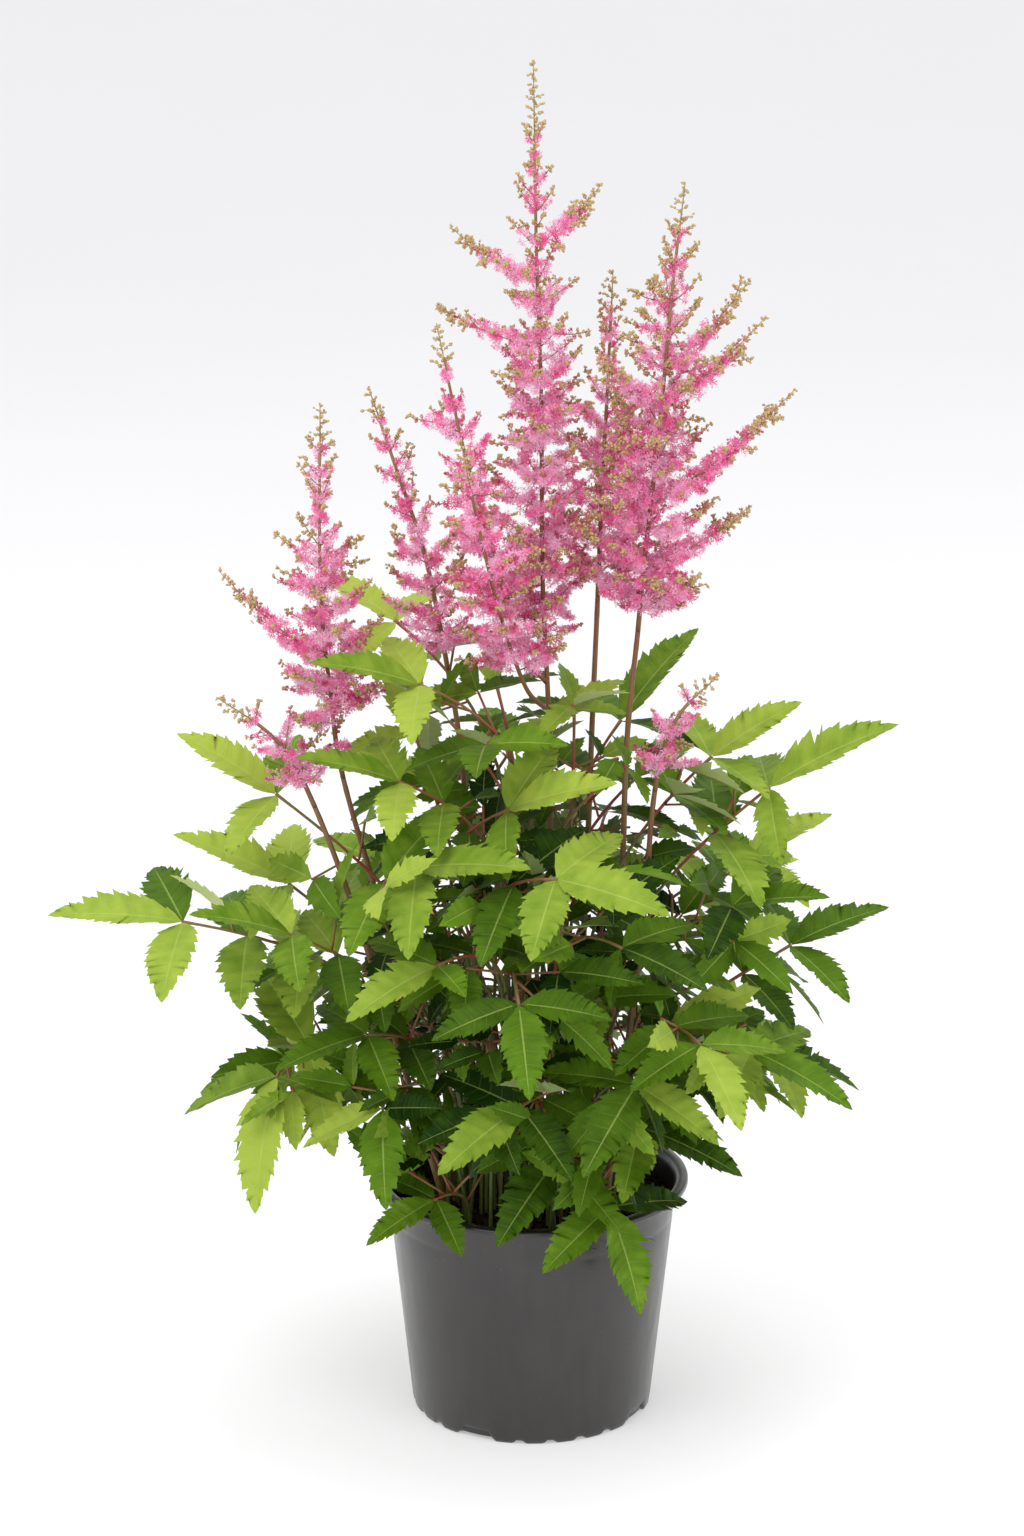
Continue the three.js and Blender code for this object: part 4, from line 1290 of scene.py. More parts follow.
@dataclass
class FlowerStem:
    """A flower stem: a bare stalk that ends in a plume of racemes."""

    name: str
    stem: list
    joint: int
    nodes: Whorls
    extras: list = field(default_factory=list)
    branches: list = field(default_factory=list)
    ripeness: float = 1.0
    seed: int = 1
    racemes: list = field(default_factory=list)
    axes: list = field(default_factory=list)

    @property
    def owner(self) -> str:
        """The solid that its plume replaces."""
        return f"panicle_{self.name}"

    def place(self, room: Room) -> None:
        """Sets the stem in the soil and takes the room of its axes.

        Args:
            room: What is already placed.
        """
        self.room = room
        self.draw = Draws(self.seed)
        foot, *rest = [np.array(point, float) for point in self.stem]
        foot[2] = SOIL.top - SOIL.hole_depth
        self.foot = foot
        collar = np.array([foot[0], foot[1], SOIL.top + SOIL.collar])
        self.curve = Spline([collar, *rest])
        self.take_axis(self.curve, nodes_of(self.nodes, self.extras, self.branches))
        for branch in self.branches:
            root = self.curve.point(self.curve.share_at_height(branch.height))
            self.take_axis(branch.curve(root), nodes_of(branch.nodes, [], []))
        room.feet.append(foot)

    def take_axis(self, curve: Curve, nodes: list) -> None:
        """Takes the room of a stem and of the spike at its end.

        Args:
            curve: The stem's middle line.
            nodes: Its nodes.
        """
        spike = spike_path(curve, nodes)
        bare_to = curve.share_at_height(spike[0][2])
        self.room.add(stem_spots([at for at, _ in curve.stations(0, bare_to, 4 * STEM.steps)]), self.owner)
        self.room.add(raceme_spots(spike, STEM.spike_length, 0), self.owner)

    def grow(self) -> None:
        """Places every raceme of the plume."""
        start = self.joint / (len(self.stem) - 1)
        at, along = self.curve.point(start), self.curve.tangent(start)
        ring = corners(at + along * GAP, along, square_to(SIDE, along), STEM.rachis_radius)
        nodes = nodes_of(self.nodes, self.extras, self.branches)
        self.grow_axis(ring, self.curve, start, nodes)

    def grow_axis(self, start: Vec, curve: Curve, since: float, nodes: list) -> None:
        """Goes up a stem and places what its nodes bear.

        Args:
            start: The section that the stem starts from.
            curve: Its middle line.
            since: The share of the curve where it starts.
            nodes: Its nodes.
        """
        half = STEM.node_length / 2 / curve.length()
        side = start[0] - start.mean(0)
        spike = spike_path(curve, nodes)
        self.axes.append((curve, since, spike[0][2], start.mean(0)))
        for height, organs in nodes:
            share = curve.share_at_height(height)
            rings = []
            for place in (share - half, share + half):
                along = curve.tangent(place)
                side = square_to(side, along)
                radius = between(STEM.rachis_radius, STEM.tip_radius, (place - since) / (1 - since))
                rings.append(corners(curve.point(place), along, side, radius))
            grown = set()
            for organ in organs:
                face = face_towards(*rings, organ.azimuth)
                root = face_ring(*rings, face)
                if face not in grown and self.grow_side(root, curve.tangent(share), organ):
                    grown.add(face)
        self.racemes.append(Raceme(spike, STEM.spike_length, self.level(spike[-1][2]), True))

    def grow_side(self, root: Vec, along: Vec, organ: Organ) -> bool:
        """Grows a branch or a raceme from an open face, and says whether it did.

        Args:
            root: Corners of the face.
            along: The stem's direction there.
            organ: What grows.

        Returns:
            True if it had room.
        """
        origin = root.mean(0)
        if organ.branch:
            nodes = nodes_of(organ.branch.nodes, [], [])
            self.grow_axis(root, organ.branch.curve(origin), 0, nodes)
            return True
        for attempt in range(ROOM.tries):
            swing = attempt * ROOM.raceme_swing
            azimuth = organ.azimuth + self.draw(-swing, swing)
            length = organ.length * (1 - ROOM.raceme_shrink * attempt)
            path = raceme_path(origin, along, Organ(azimuth, length, organ.rise + self.draw(-swing, swing)))
            spots = raceme_spots(path, length, ROOM.raceme_root)
            if self.room.is_free(spots, self.owner):
                self.room.add(spots, self.owner)
                self.racemes.append(Raceme(path, length, self.level(origin[2])))
                return True
        return False

    def fill(self) -> None:
        """Adds short racemes between the nodes, and on the long racemes, where there is room."""
        for curve, since, top, _ in list(self.axes):
            low = max(self.nodes.low - FILL.below, curve.point(since)[2] + FILL.above_joint)
            turn = self.draw(0, 360)
            step = FILL.step if curve is self.curve else FILL.branch_step
            for index in range(int((top - low) / step)):
                height = low + step * index
                level = self.level(height)
                share = curve.share_at_height(height)
                longest = FILL.longest * self.nodes.longest
                length = between(longest, self.nodes.shortest, level) * self.draw(0.5, 1)
                rise = between(FILL.low_rise, STEM.high_rise, level)
                organ = Organ(turn + GOLDEN_TURN * index, length, rise)
                self.add_raceme(curve.point(share), curve.tangent(share), organ, FILL.tries)
        for raceme in list(self.racemes):
            if raceme.size >= FILL.bearing and not raceme.is_spike:
                self.fill_raceme(raceme)

    def fill_raceme(self, raceme: Raceme) -> None:
        """Adds side racemes along a long raceme, on both sides of the longest, up to its bare end.

        Args:
            raceme: The raceme that bears them.
        """
        path = np.array(raceme.path)
        for index in range(1, len(path) - 1):
            share = index / (len(path) - 1)
            if share > FILL.bare_end:
                break
            along = unit(path[index + 1] - path[index - 1])
            azimuth = math.degrees(math.atan2(along[1], along[0]))
            for side in (1, -1) if raceme.size > FILL.two_sided else ((-1) ** index,):
                length = (1 - 0.6 * share) * self.draw(*FILL.side_lengths)
                turn = side * self.draw(*FILL.side_angles)
                organ = Organ(azimuth + turn, length, self.draw(*FILL.side_rises))
                self.add_raceme(path[index], along, organ, FILL.side_tries, 1.9 - 2.4 * share)

    def add_raceme(self, origin: Vec, along: Vec, organ: Organ, tries: int, opened: float = 1.0) -> bool:
        """Adds a raceme that isn't among the solids, and says whether it had room.

        Args:
            origin: Where it starts.
            along: Direction of what bears it.
            organ: Its azimuth, length and rise.
            tries: How often it may turn and shorten.
            opened: How open its florets are.

        Returns:
            True if it had room.
        """
        for attempt in range(tries):
            swing = FILL.swing * attempt
            azimuth = organ.azimuth + self.draw(-swing, swing)
            rise = organ.rise + self.draw(-FILL.rise_swing, FILL.rise_swing)
            length = max(FILL.shortest, organ.length * (1 - FILL.shrink * attempt))
            path = raceme_path(origin, along, Organ(azimuth, length, rise))
            spots = raceme_spots(path, length, FILL.root_share * length).shrunk(FILL.slack)
            if self.room.is_free(spots, self.owner):
                self.room.add(spots, self.owner)
                self.racemes.append(Raceme(path, length, self.level(origin[2]), False, opened))
                return True
        return False

    def level(self, height: float) -> float:
        """How high a point sits in the plume, from 0 to 1."""
        return min(1, max(0, (height - self.nodes.low) / (self.curve.point(1)[2] - self.nodes.low)))

    def build(self, kit: PlumeKit) -> None:
        """Builds the stalk and the plume.

        Args:
            kit: The shapes and finishes of all the plumes.
        """
        self.build_stalk(kit)
        stems, florets = Draft(), (Draft(), Draft())
        chance = np.random.default_rng(self.seed)
        for curve, since, top, root in self.axes:
            self.build_axis(stems, curve, since, curve.share_at_height(top), root)
        for index, raceme in enumerate(self.racemes):
            RacemeDress(raceme, self.ripeness, chance, florets[index % 2], stems, kit).build()
        stems.piece(f"plume_{self.name}_stems", kit.finishes).stands_for(self.owner, "flower")
        for half, draft in enumerate(florets, 1):
            piece = draft.piece(f"plume_{self.name}_florets_{half}", [kit.petal], False)
            piece.stands_for(self.owner, "flower")

    def build_stalk(self, kit: PlumeKit) -> None:
        """Builds the bare stalk from the soil to the first flowers.

        Args:
            kit: The shapes and finishes that all of them share.
        """
        draft = Draft()
        joint = self.joint / (len(self.stem) - 1)
        path = np.array([self.foot, *[at for at, _ in self.curve.stations(0, joint, STEPS.stalk)]])
        shares = np.linspace(0, 1, len(path))
        knots = 0.12 * np.maximum(0, np.sin(shares * 28)) ** 12
        radii = between(STEM.stalk_radius, STEM.rachis_radius, shares) - 0.1 + knots
        tint = np.column_stack([0.2 + 0.5 * shares, 0.1 * (1 - shares), shares])
        draft.tube(path, radii, STEPS.stalk_sides, 0, tint)
        piece = draft.piece(f"flower_stalk_{self.name}", kit.finishes[:1])
        piece.stands_for(f"stalk_{self.name}", "stalk")

    def build_axis(self, draft: Draft, curve: Curve, since: float, until: float, root: Vec) -> None:
        """Builds a stem of the plume, up to the start of its spike.

        Args:
            draft: The mesh in the making.
            curve: The stem's middle line.
            since: The share of the curve where it starts.
            until: The share where its spike starts.
            root: The middle of the section that it grows from.
        """
        shares = np.linspace(since, until, STEPS.axis)
        path = np.array([root, *[curve.point(share) for share in shares[1:]]])
        along = (shares - since) / max(1e-6, 1 - since)
        radii = between(STEM.rachis_radius, STEM.tip_radius, along) - 0.05
        level = np.array([self.level(at[2]) for at in path])
        tint = np.column_stack([0.75 - 0.6 * level, 0.45 * level**2, level])
        draft.tube(path, radii, STEPS.axis_sides, 0, tint)


@dataclass(frozen=True)
class PlumeKit:
    """The small shapes and the finishes that all plumes share."""

    florets: list
    half_open: list
    bud: Shape
    stalk: Shape
    thread: Shape
    petal: Material
    finishes: list


@dataclass(frozen=True)
class FloretSizes:
    """Sizes of one floret, in millimetres."""

    petals: int = 5
    petal_length: float = 3.0
    petal_width: float = 0.9
    stamens: int = 3
    stamen_length: float = 3.9
    stamen_width: float = 0.36
    opening: float = 66

    def shape(self, seed: int) -> Shape:
        """Builds a floret that opens upwards: narrow petals, widest at their ends, and stamens.

        Args:
            seed: Start of its own small chances.

        Returns:
            The shape.
        """
        chance = np.random.default_rng(seed)
        vertices, faces, tint = [], [], []
        for index in range(self.petals + self.stamens):
            is_petal = index < self.petals
            turn = index * (360 / self.petals if is_petal else 360 / self.stamens) + chance.uniform(-14, 14)
            tilt = math.radians(self.opening * (1 if is_petal else 0.62) + chance.uniform(-15, 15))
            length = (self.petal_length if is_petal else self.stamen_length) * chance.uniform(0.85, 1.15)
            width = (self.petal_width if is_petal else self.stamen_width) / 2
            out = polar(1, turn, 0)
            way = out * math.sin(tilt) + UP * math.cos(tilt)
            bend = out * math.sin(tilt + 0.5) + UP * math.cos(tilt + 0.5)
            across = np.cross(UP, out)
            middle = way * length * 0.5
            tip = middle + bend * length * 0.5
            first = len(vertices)
            if is_petal:
                vertices += [way * 0.15, tip - across * width, tip + across * width]
                tint += [[0, 0, 0], [0, 1, 0], [0, 1, 0]]
            else:
                vertices += [way * 0.3 - across * width, way * 0.3 + across * width, tip]
                tint += [[0, 0.3, 0], [0, 0.3, 0], [0, 1.3, 0]]
            faces.append([first, first + 1, first + 2])
        return Shape(np.array(vertices), np.array(faces), np.array(tint))


def thin_stalk(sides: int) -> Shape:
    """A stalk of unit length and width, open at its ends; a ribbon if it has two sides.

    Args:
        sides: Number of its sides.

    Returns:
        The shape.
    """
    turn = 360 / sides
    ends = ((1, 0), (0.7, 1))
    vertices = [polar(radius, turn * index, height) for radius, height in ends for index in range(sides)]
    faces = []
    for index in range(sides if sides > 2 else 1):
        after = (index + 1) % sides
        faces += [[index, after, sides + after], [index, sides + after, sides + index]]
    return Shape(np.array(vertices), np.array(faces), np.zeros((2 * sides, 3)))


def bead(sides: int = 3) -> Shape:
    """A bead of about unit radius, a little longer than wide, to stand for a bud.

    Args:
        sides: Corners of its two rings.

    Returns:
        The shape.
    """
    vertices = [[0, 0, -1.15]]
    for row, (radius, height) in enumerate(((0.95, -0.5), (1.0, 0.4))):
        turn = 180 / sides * row
        vertices += [polar(radius, 360 / sides * index + turn, height).tolist() for index in range(sides)]
    vertices.append([0, 0, 1.35])
    faces = []
    for index in range(sides):
        after = (index + 1) % sides
        low, low_after, high, high_after = 1 + index, 1 + after, 1 + sides + index, 1 + sides + after
        faces += [[0, low_after, low], [low, low_after, high], [low_after, high_after, high]]
        faces.append([high, high_after, 1 + 2 * sides])
    return Shape(np.array(vertices, float), np.array(faces), np.zeros((len(vertices), 3)))


@dataclass
class RacemeDress:
    """The axis, florets and buds of one raceme, in small tufts on stalks of their own."""

    raceme: Raceme
    ripeness: float
    chance: Chance
    florets: Draft
    stems: Draft
    kit: PlumeKit
    tufts_per_mm: float = 0.48
    florets_per_tuft: int = 6
    buds_per_tuft: int = 4
    closing: float = 0.76
    tip_bead: float = 2.2
    radii: tuple[float, float] = (0.5, 0.26)
    sides: int = 3
    shade_spread: float = 0.17
    spike_fullness: float = 1.3
    short_below: float = 40

    def build(self) -> None:
        """Adds the raceme to its plume's meshes."""
        self.path = np.array(self.raceme.path)
        if self.raceme.is_spike:
            self.path[-1] -= self.tip_bead * unit(self.path[-1] - self.path[-2])
        self.shade = self.chance.normal(0, self.shade_spread)
        fuller = self.spike_fullness if self.raceme.is_spike else 1
        steps = np.linalg.norm(np.diff(self.path, axis=0), axis=1)
        self.shares = np.concatenate([[0], np.cumsum(steps)]) / steps.sum()
        self.length = float(steps.sum())
        level = self.raceme.level
        tint = np.column_stack([0.25 - 0.2 * self.shares, 0.5 + 0.4 * self.shares * level, self.shares])
        self.stems.tube(self.path, between(*self.radii, self.shares) * fuller, self.sides, 0, tint)
        budding = (1.0 - 0.8 * level**2) * self.ripeness - 0.15 * min(1, self.length / 70)
        is_short = self.length < self.short_below
        most = 0.98 if is_short else 0.7
        budding = min(most, max(0.0, budding + self.chance.normal(0, 0.05))) * min(1, self.raceme.opened)
        if self.raceme.is_spike:
            budding = 0.0
        elif is_short and self.chance.uniform() < 0.04 + 0.08 * level:
            budding *= self.chance.uniform(0, 0.5)
        self.add_tufts(budding)

    def along_axis(self, shares: Vec) -> tuple[Vec, Vec]:
        """Places and directions on the axis at some shares.

        Args:
            shares: Shares of the axis.

        Returns:
            Places, and unit directions.
        """

        def at(values: Vec) -> Vec:
            """Places at some shares."""
            return np.column_stack([np.interp(values, self.shares, self.path[:, k]) for k in range(3)])

        along = at(np.clip(shares + 0.05, 0, 1)) - at(np.clip(shares - 0.05, 0, 1))
        return at(shares), units(along)

    def reach(self, shares: Vec) -> Vec:
        """How far the tufts reach at some shares, fuller near the root than the solid.

        Args:
            shares: Shares of the axis.

        Returns:
            The reaches, in millimetres.
        """
        opened = np.clip(0.45 + shares / 0.2, 0, 1)
        size = self.raceme.size
        full = min(STEM.thickest, STEM.base_thickness + STEM.thickness_per_length * size)
        shut = 1 - self.closing * np.clip((shares - STEM.open_at) / (1 - STEM.open_at), 0, 1)
        fuller = self.spike_fullness if self.raceme.is_spike else 1
        return np.maximum(1.5, fuller * full * opened * shut)

    def add_tufts(self, budding: float) -> None:
        """Adds tufts of florets up to where the buds begin, and tufts of buds past that.

        Args:
            budding: Share of the raceme where the buds begin.
        """
        count = max(6, round(self.length * self.tufts_per_mm))
        shares = (np.arange(count) + self.chance.uniform(0, 1, count)) / count
        shares = 0.03 + 0.96 * shares
        middle, along = self.along_axis(shares)
        first = units(np.cross(np.where(np.abs(along[:, 2:]) < 0.9, UP, SIDE), along))
        second = np.cross(along, first)
        turns = np.radians(GOLDEN_TURN * np.arange(count) + self.chance.uniform(-35, 35, count))[:, None]
        out = first * np.cos(turns) + second * np.sin(turns)
        reach = self.reach(shares) * self.chance.uniform(0.6, 1.05, count)
        lean = self.chance.uniform(0.25, 0.6, count)[:, None]
        ways = units(out + along * lean)
        is_bud = shares > budding + self.chance.normal(0, 0.05, count)
        far = np.maximum(0.5, reach - np.where(is_bud, 0.7, 1.9))
        tips = middle + ways * far[:, None]
        red = 0.15 + 0.3 * self.chance.uniform(0, 1, count)
        stalk_tint = np.column_stack([red, 0.2 + 0.4 * shares, shares])
        frames = frames_towards(ways, self.chance.uniform(0, SPIN, count), np.full(count, 0.2))
        frames[:, :, 2] *= far[:, None] / 0.2
        for shape, chosen in ((self.kit.stalk, is_bud), (self.kit.thread, ~is_bud)):
            self.stems.scatter(shape, middle[chosen], frames[chosen], 0, stalk_tint[chosen])
        fresh = np.clip((budding - shares) / 0.35, 0, 1)
        self.add_florets(tips[~is_bud], ways[~is_bud], fresh[~is_bud], reach[~is_bud])
        self.add_buds(middle[is_bud], ways[is_bud], far[is_bud], shares[is_bud], budding)

    def add_florets(self, tips: Vec, ways: Vec, fresh: Vec, reach: Vec) -> None:
        """Adds a tuft of florets round each tip.

        Args:
            tips: Where each tuft is.
            ways: Where it points.
            fresh: How fresh it is, from 0 to 1.
            reach: How far it is from the axis.
        """
        each = self.florets_per_tuft
        count = len(tips) * each
        spread = np.repeat(np.clip(reach * 0.28, 0.7, 1.9), each)[:, None]
        offsets = self.chance.normal(0, 1, (count, 3)) * spread * 0.62
        places = np.repeat(tips, each, axis=0) + offsets
        looks = np.repeat(ways, each, axis=0) * 1.2 + offsets / spread * 0.9
        looks = units(looks + self.chance.normal(0, 0.25, (count, 3)))
        fresh = np.repeat(fresh, each)
        level = self.raceme.level
        sizes = (0.62 + 0.38 * fresh) * self.chance.uniform(0.8, 1.12, count) * (1 - 0.15 * level)
        frames = frames_towards(looks, self.chance.uniform(0, SPIN, count), sizes)
        own = np.repeat(self.chance.normal(self.shade, 0.13, len(tips)), each)
        openness = 0.14 + 0.5 * fresh + own + self.chance.normal(0, 0.05, count)
        is_open = openness > 0.22
        tint = np.column_stack([openness, np.zeros(count), self.chance.uniform(0, 1, count)])
        kinds = self.chance.integers(0, len(self.kit.florets), count)
        for kind in range(len(self.kit.florets)):
            for state, shapes in ((True, self.kit.florets), (False, self.kit.half_open)):
                chosen = (kinds == kind) & (is_open == state)
                self.florets.scatter(shapes[kind], places[chosen], frames[chosen], 0, tint[chosen])

    def add_buds(self, middle: Vec, ways: Vec, far: Vec, shares: Vec, budding: float) -> None:
        """Adds beads of buds along each tuft's stalk, the largest near its end.

        Args:
            middle: Where each tuft's stalk starts.
            ways: Where it points.
            far: How long it is.
            shares: Its share of the raceme.
            budding: Share where the buds begin.
        """
        each = self.buds_per_tuft
        count = len(middle) * each
        if not count:
            return
        places_on = np.tile(np.linspace(0.35, 1.05, each), len(middle))
        offsets = self.chance.normal(0, 1, (count, 3)) * 0.62
        way = np.repeat(ways, each, axis=0)
        places = np.repeat(middle, each, axis=0) + way * (np.repeat(far, each) * places_on)[:, None] + offsets
        looks = units(way + offsets * 0.8)
        taper = 1 - 0.24 * np.repeat(shares, each)
        sizes = 1.12 * taper * self.chance.uniform(0.75, 1.15, count)
        frames = frames_towards(looks, self.chance.uniform(0, SPIN, count), sizes)
        past = np.repeat(shares, each) - budding
        ripe = np.clip(0.8 - past * 2.6, 0.04, 1) * (1 - 0.6 * self.raceme.level)
        tint = np.column_stack([ripe, np.zeros(count), self.chance.uniform(0, 1, count)])
        self.stems.scatter(self.kit.bud, places, frames, 1, tint)


def flower_stems() -> list[FlowerStem]:
    """The seven flower stems, from given points.

    Returns:
        The stems, each with its seed.
    """
    stems = [
        FlowerStem(
            "centre",
            [(10, 6, 0), (11, 8, 300), (10, 8, 425), (6, 6, 520), (5, 5, 630), (2, 2, 720), (0, 0, 829)],
            2,
            Whorls(15, 500, 778, 2, 48, 13, 200),
            [
                (700, 195, 56, 25), (668, 190, 62, 15), (715, 345, 48, 35), (640, 250, 44, 10),
                (620, 280, 40, 5), (535, 330, 40, 20), (518, 285, 44, 25), (500, 20, 34, 30),
            ],
            [
                Branch(455, 190, [(-8, -4, 480), (-22, -16, 540), (-40, -20, 605), (-56, -20, 681)],
                       Whorls(8, 520, 645, 2, 32, 12, 20)),
                Branch(438, 250, [(-4, -24, 462), (-18, -48, 510), (-30, -66, 565), (-42, -74, 626)],
                       Whorls(7, 484, 592, 2, 30, 12, 150)),
            ],
        ),
        FlowerStem(
            "right",
            [(38, 2, 0), (52, 0, 300), (56, 0, 420), (62, -3, 490), (66, -6, 540), (74, -9, 620),
             (80, -11, 695), (87, -15, 762)],
            3,
            Whorls(12, 508, 728, 3, 52, 14, 70),
            [
                (655, 350, 68, 40), (622, 335, 76, 38), (596, 345, 74, 30), (560, 350, 98, 38),
                (526, 5, 66, 25), (508, 335, 52, 50), (585, 250, 50, 20), (620, 220, 56, 25),
            ],
        ),
        FlowerStem(
            "left",
            [(-46, -3, 0), (-86, -3, 300), (-112, -5, 400), (-119, -8, 455), (-124, -12, 520),
             (-123, -15, 632)],
            2,
            Whorls(12, 445, 600, 2, 38, 12, 260),
            [(470, 185, 74, 40), (505, 330, 52, 45), (445, 300, 34, 20)],
        ),
        FlowerStem(
            "inner_left",
            [(-22, 14, 0), (-34, 17, 300), (-42, 18, 405), (-50, 18, 460), (-63, 16, 530), (-80, 13, 585),
             (-96, 10, 635)],
            3,
            Whorls(9, 475, 612, 2, 32, 11, 100),
        ),
        FlowerStem(
            "behind",
            [(24, 30, 0), (32, 36, 300), (36, 38, 420), (39, 38, 500), (41, 38, 560), (44, 38, 625),
             (47, 38, 700)],
            3,
            Whorls(10, 514, 672, 2, 40, 12, 40),
            [(514, 10, 32, 35)],
        ),
        FlowerStem(
            "low_left",
            [(-52, -22, 0), (-98, -26, 300), (-128, -30, 390), (-150, -33, 432), (-186, -40, 462)],
            2,
            Whorls(3, 408, 444, 2, 26, 15, 80),
        ),
        FlowerStem(
            "low_right",
            [(44, -24, 0), (64, -28, 300), (72, -30, 400), (84, -34, 445), (110, -40, 476)],
            2,
            Whorls(3, 414, 456, 2, 26, 14, 250),
        ),
    ]
    for index, stem in enumerate(stems):
        stem.seed = PLUME_SEED + PLUME_SEED_STEP * index
    return stems


# Leaves


@dataclass(frozen=True)
class Blade:
    """A leaflet's place: its base, its own axes and its length."""

    base: Vec
    along: Vec
    normal: Vec
    length: float

    @property
    def across(self) -> Vec:
        """The direction to its left."""
        return np.cross(self.normal, self.along)

    def surface(self, shares: Vec, outs: Vec, lift: Vec | float = 0) -> Vec:
        """Points of the folded, drooping blade.

        Args:
            shares: Shares of the length.
            outs: Shares of the half width, negative to the right.
            lift: How far above the blade's middle, in millimetres.

        Returns:
            The points.
        """
        half = LEAF.half_width * self.length
        rise = LEAF.fold * np.abs(outs) * half - LEAF.droop * self.length * shares**2 + lift
        return (
            self.base
            + np.multiply.outer(shares * self.length, self.along)
            + np.multiply.outer(outs * half, self.across)
            + np.multiply.outer(rise, self.normal)
        )

    def spots(self) -> Spots:
        """Points that stand for the blade.

        Returns:
            The points.
        """
        rows = math.ceil(self.length / ROOM.leaf_spacing)
        shares, outs = [], []
        for row in range(1, rows + 1):
            share = row / rows
            half = min(share / LEAF.widest_at, 1, (1 - share) / LEAF.taper_over)
            columns = math.ceil(half * LEAF.half_width * self.length / ROOM.leaf_spacing)
            for column in range(-columns, columns + 1):
                shares.append(share)
                outs.append(0 if columns == 0 else half * column / columns)
        kin = np.where(np.array(shares) < ROOM.leaf_root, 0, ROOM.leaf_kin)
        at = self.surface(np.array(shares), np.array(outs))
        return Spots(at, np.full(len(shares), ROOM.leaf_reach), kin)


@dataclass(frozen=True)
class Station:
    """A section of a leaf's stem."""

    at: Vec
    along: Vec
    normal: Vec

    def ring(self, radius: float) -> Vec:
        """Its corners, with faces that look up, right, down and left."""
        return corners(self.at, self.along, turned(self.normal, self.along, -45), radius)


RIGHT_FACE, LEFT_FACE = 1, 3
SIDES = ((LEFT_FACE, 1), (RIGHT_FACE, -1))


